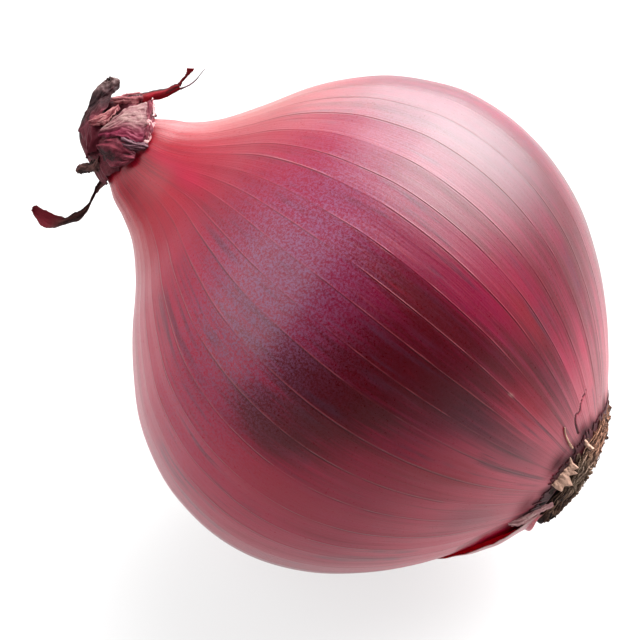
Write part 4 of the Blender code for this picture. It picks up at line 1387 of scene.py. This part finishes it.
@dataclass
class Studio:
    """A pale floor, a softbox, a soft bright room and a long-lensed camera on the side that shows."""

    floor_radius: float = 4.0
    floor_shade: float = 0.15
    floor_glow: float = 0.75
    pool: tuple[float, float] = (0.10, 0.20)
    pool_shift: float = 0.045
    camera_distance: float = 0.65
    view_width: float = 0.1004
    view_middle: Station = VIEW_MIDDLE
    sensor: float = 36.0
    box_distance: float = 0.9
    box_size: float = 0.42
    box_power: float = 2.2
    room: float = 0.95
    key: Glow = Glow("key", 137.0, 47.5, 8.0, 45.0, 10.8)
    glows: tuple[Glow, ...] = (
        Glow("left_wall", -82.0, 34.0, 8.0, 38.0, 2.4),
        Glow("back_wall", 162.0, 8.0, 12.0, 42.0, 5.3),
    )
    dark_front: Glow = Glow("dark_front", 12.0, 17.0, 48.0, 74.0, -0.90)

    def floor(self) -> None:
        """Lays the floor as a wide disc, brightest in a round pool under and behind the onion."""
        mesh = bpy.data.meshes.new("floor")
        ring = [(self.floor_radius * math.cos(a), self.floor_radius * math.sin(a), 0.0)
                for a in np.linspace(0, 2 * math.pi, 96, endpoint=False)]
        mesh.from_pydata(ring, [], [list(range(96))])
        bench = NodeBench("pale_floor")
        ahead = FORM.axes.toward * np.array([1.0, 1.0, 0.0])
        middle = -self.pool_shift * ahead / np.linalg.norm(ahead)
        gap = bench.add("VectorMath", {0: bench.place(), 1: tuple(middle)}, operation="DISTANCE")
        fall = bench.ramp(gap.outputs["Value"], *self.pool)
        pale, dim = (self.floor_shade,) * 3, (0.5 * self.floor_shade,) * 3
        lit, faded = (self.floor_glow,) * 3, (0.40 * self.floor_glow,) * 3
        bench.dress({"Base Color": bench.mix(fall, pale, dim), "Roughness": 0.75,
                     "Emission Color": bench.mix(fall, lit, faded), "Emission Strength": 1.0})
        mesh.materials.append(bench.material)
        floor = bpy.data.objects.new("floor", mesh)
        floor.location.z = -0.00002
        bpy.context.scene.collection.objects.link(floor)

    def surround(self) -> None:
        """Lights the room with its soft patches; the camera itself sees plain white."""
        world = bpy.data.worlds.new("room")
        world.use_nodes = True
        bpy.context.scene.world = world
        tree = world.node_tree
        nodes, links = tree.nodes, tree.links
        spot = nodes.new("ShaderNodeTexCoord")
        total: Socket | None = None
        for glow in (self.key, *self.glows, self.dark_front):
            facing = nodes.new("ShaderNodeVectorMath")
            facing.operation = "DOT_PRODUCT"
            facing.inputs[1].default_value = tuple(glow.way)
            links.new(spot.outputs["Generated"], facing.inputs[0])
            fall = nodes.new("ShaderNodeMapRange")
            fall.interpolation_type = "SMOOTHSTEP"
            edges = math.cos(math.radians(glow.outer)), math.cos(math.radians(glow.inner))
            for key, value in (("From Min", edges[0]), ("From Max", edges[1]), ("To Max", glow.strength)):
                fall.inputs[key].default_value = value
            links.new(facing.outputs["Value"], fall.inputs["Value"])
            adding = nodes.new("ShaderNodeMath")
            adding.inputs[1].default_value = self.room
            links.new(fall.outputs["Result"], adding.inputs[0])
            if total is not None:
                links.new(total, adding.inputs[1])
            total = adding.outputs[0]
        seen = nodes.new("ShaderNodeLightPath")
        strength = nodes.new("ShaderNodeMix")
        links.new(seen.outputs["Is Camera Ray"], strength.inputs["Factor"])
        links.new(total, strength.inputs[2])
        strength.inputs[3].default_value = 1.0
        background = nodes["Background"]
        background.inputs["Color"].default_value = (1.0, 1.0, 1.0, 1.0)
        links.new(strength.outputs[0], background.inputs["Strength"])

    def softbox(self) -> None:
        """Hangs the round softbox in the middle of the key patch."""
        way = Vector(self.key.way)
        lamp = bpy.data.lights.new("softbox", "AREA")
        lamp.shape = "DISK"
        lamp.size = self.box_size
        lamp.energy = self.box_power
        holder = bpy.data.objects.new("softbox", lamp)
        holder.location = Vector((0.0, 0.0, 0.04)) + way * self.box_distance
        holder.rotation_mode = "QUATERNION"
        holder.rotation_quaternion = (-way).to_track_quat("-Z", "Y")
        bpy.context.scene.collection.objects.link(holder)

    def camera(self) -> None:
        """Sets up the camera, square to the side that shows."""
        middle = Vector(FORM.place(np.array([self.view_middle]))[0])
        back = Vector(FORM.axes.toward)
        lens = bpy.data.cameras.new("camera")
        lens.sensor_width = self.sensor
        lens.lens = self.sensor * self.camera_distance / self.view_width
        lens.clip_start = 0.01
        lens.clip_end = 50.0
        holder = bpy.data.objects.new("camera", lens)
        holder.location = middle + back * self.camera_distance
        holder.rotation_mode = "QUATERNION"
        holder.rotation_quaternion = (-back).to_track_quat("-Z", "Y")
        bpy.context.scene.collection.objects.link(holder)
        bpy.context.scene.camera = holder

    def build(self) -> None:
        """Builds the whole studio."""
        self.camera()
        self.floor()
        self.surround()
        self.softbox()
        bpy.context.scene.view_settings.view_transform = "Standard"


DRY_FINISHES = (
    DrySkin("neck_core", (0.020, 0.002, 0.004), (0.085, 0.006, 0.014), (0.17, 0.030, 0.042),
            far=(0.016, 0.003, 0.005), streak=Streak.FANNED),
    DrySkin("dark_leaf", (0.005, 0.001, 0.002), (0.018, 0.003, 0.005), (0.055, 0.016, 0.019),
            far=(0.090, 0.008, 0.017), near=(0.110, 0.062, 0.060), streak=Streak.MOTTLED),
    DrySkin("rosy_fold", (0.030, 0.003, 0.006), (0.15, 0.018, 0.027), (0.34, 0.13, 0.13)),
    DrySkin("wrinkled_tan", (0.070, 0.013, 0.021), (0.16, 0.060, 0.066), (0.26, 0.15, 0.140),
            far=(0.14, 0.008, 0.030), streak=Streak.FANNED, relief=0.14),
    DrySkin("grey_purple", (0.022, 0.005, 0.010), (0.080, 0.026, 0.038), (0.16, 0.075, 0.095)),
    DrySkin("plum", (0.018, 0.0008, 0.003), (0.090, 0.005, 0.016), (0.18, 0.026, 0.042),
            streak=Streak.MOTTLED),
    DrySkin("brown_strip", (0.014, 0.004, 0.004), (0.050, 0.014, 0.013), (0.12, 0.045, 0.040),
            far=(0.13, 0.002, 0.010)),
    DrySkin("crimson_ribbon", (0.020, 0.0004, 0.001), (0.14, 0.0006, 0.004), (0.26, 0.005, 0.014),
            near=(0.014, 0.003, 0.004), roughness=0.42, relief=0.08),
    # painted shade: the finish of the dark sheet in the gap at the root plate
    DrySkin("painted_gap_shade", (0.010, 0.001, 0.002), (0.050, 0.002, 0.006), (0.120, 0.016, 0.024)),
    DrySkin("pale_tear", (0.34, 0.12, 0.14), (0.54, 0.26, 0.27), (0.72, 0.48, 0.46)),
)


def main() -> None:
    """Builds the studio and every piece of the onion."""
    logging.basicConfig(level=logging.INFO, format="%(message)s")
    Studio().build()
    skin_finish = OnionSkin().make()
    cork = Cork().make()
    dry = {finish.name: finish.make() for finish in DRY_FINISHES}
    builders: tuple[tuple[Part, Callable[[], object]], ...] = (
        (Part.BULB, OuterSkin(skin_finish).build),
        (Part.BULB, LiftedLip(skin_finish, dry["pale_tear"]).build),
        (Part.NECK, DryNeck(dry).build),
        (Part.ROOT, RootPlate(cork, dry["painted_gap_shade"]).build),
    )
    for part, build in builders:
        made = build()
        for piece in made if isinstance(made, list) else [made]:
            settle(piece, part)


if __name__ == "__main__":
    main()
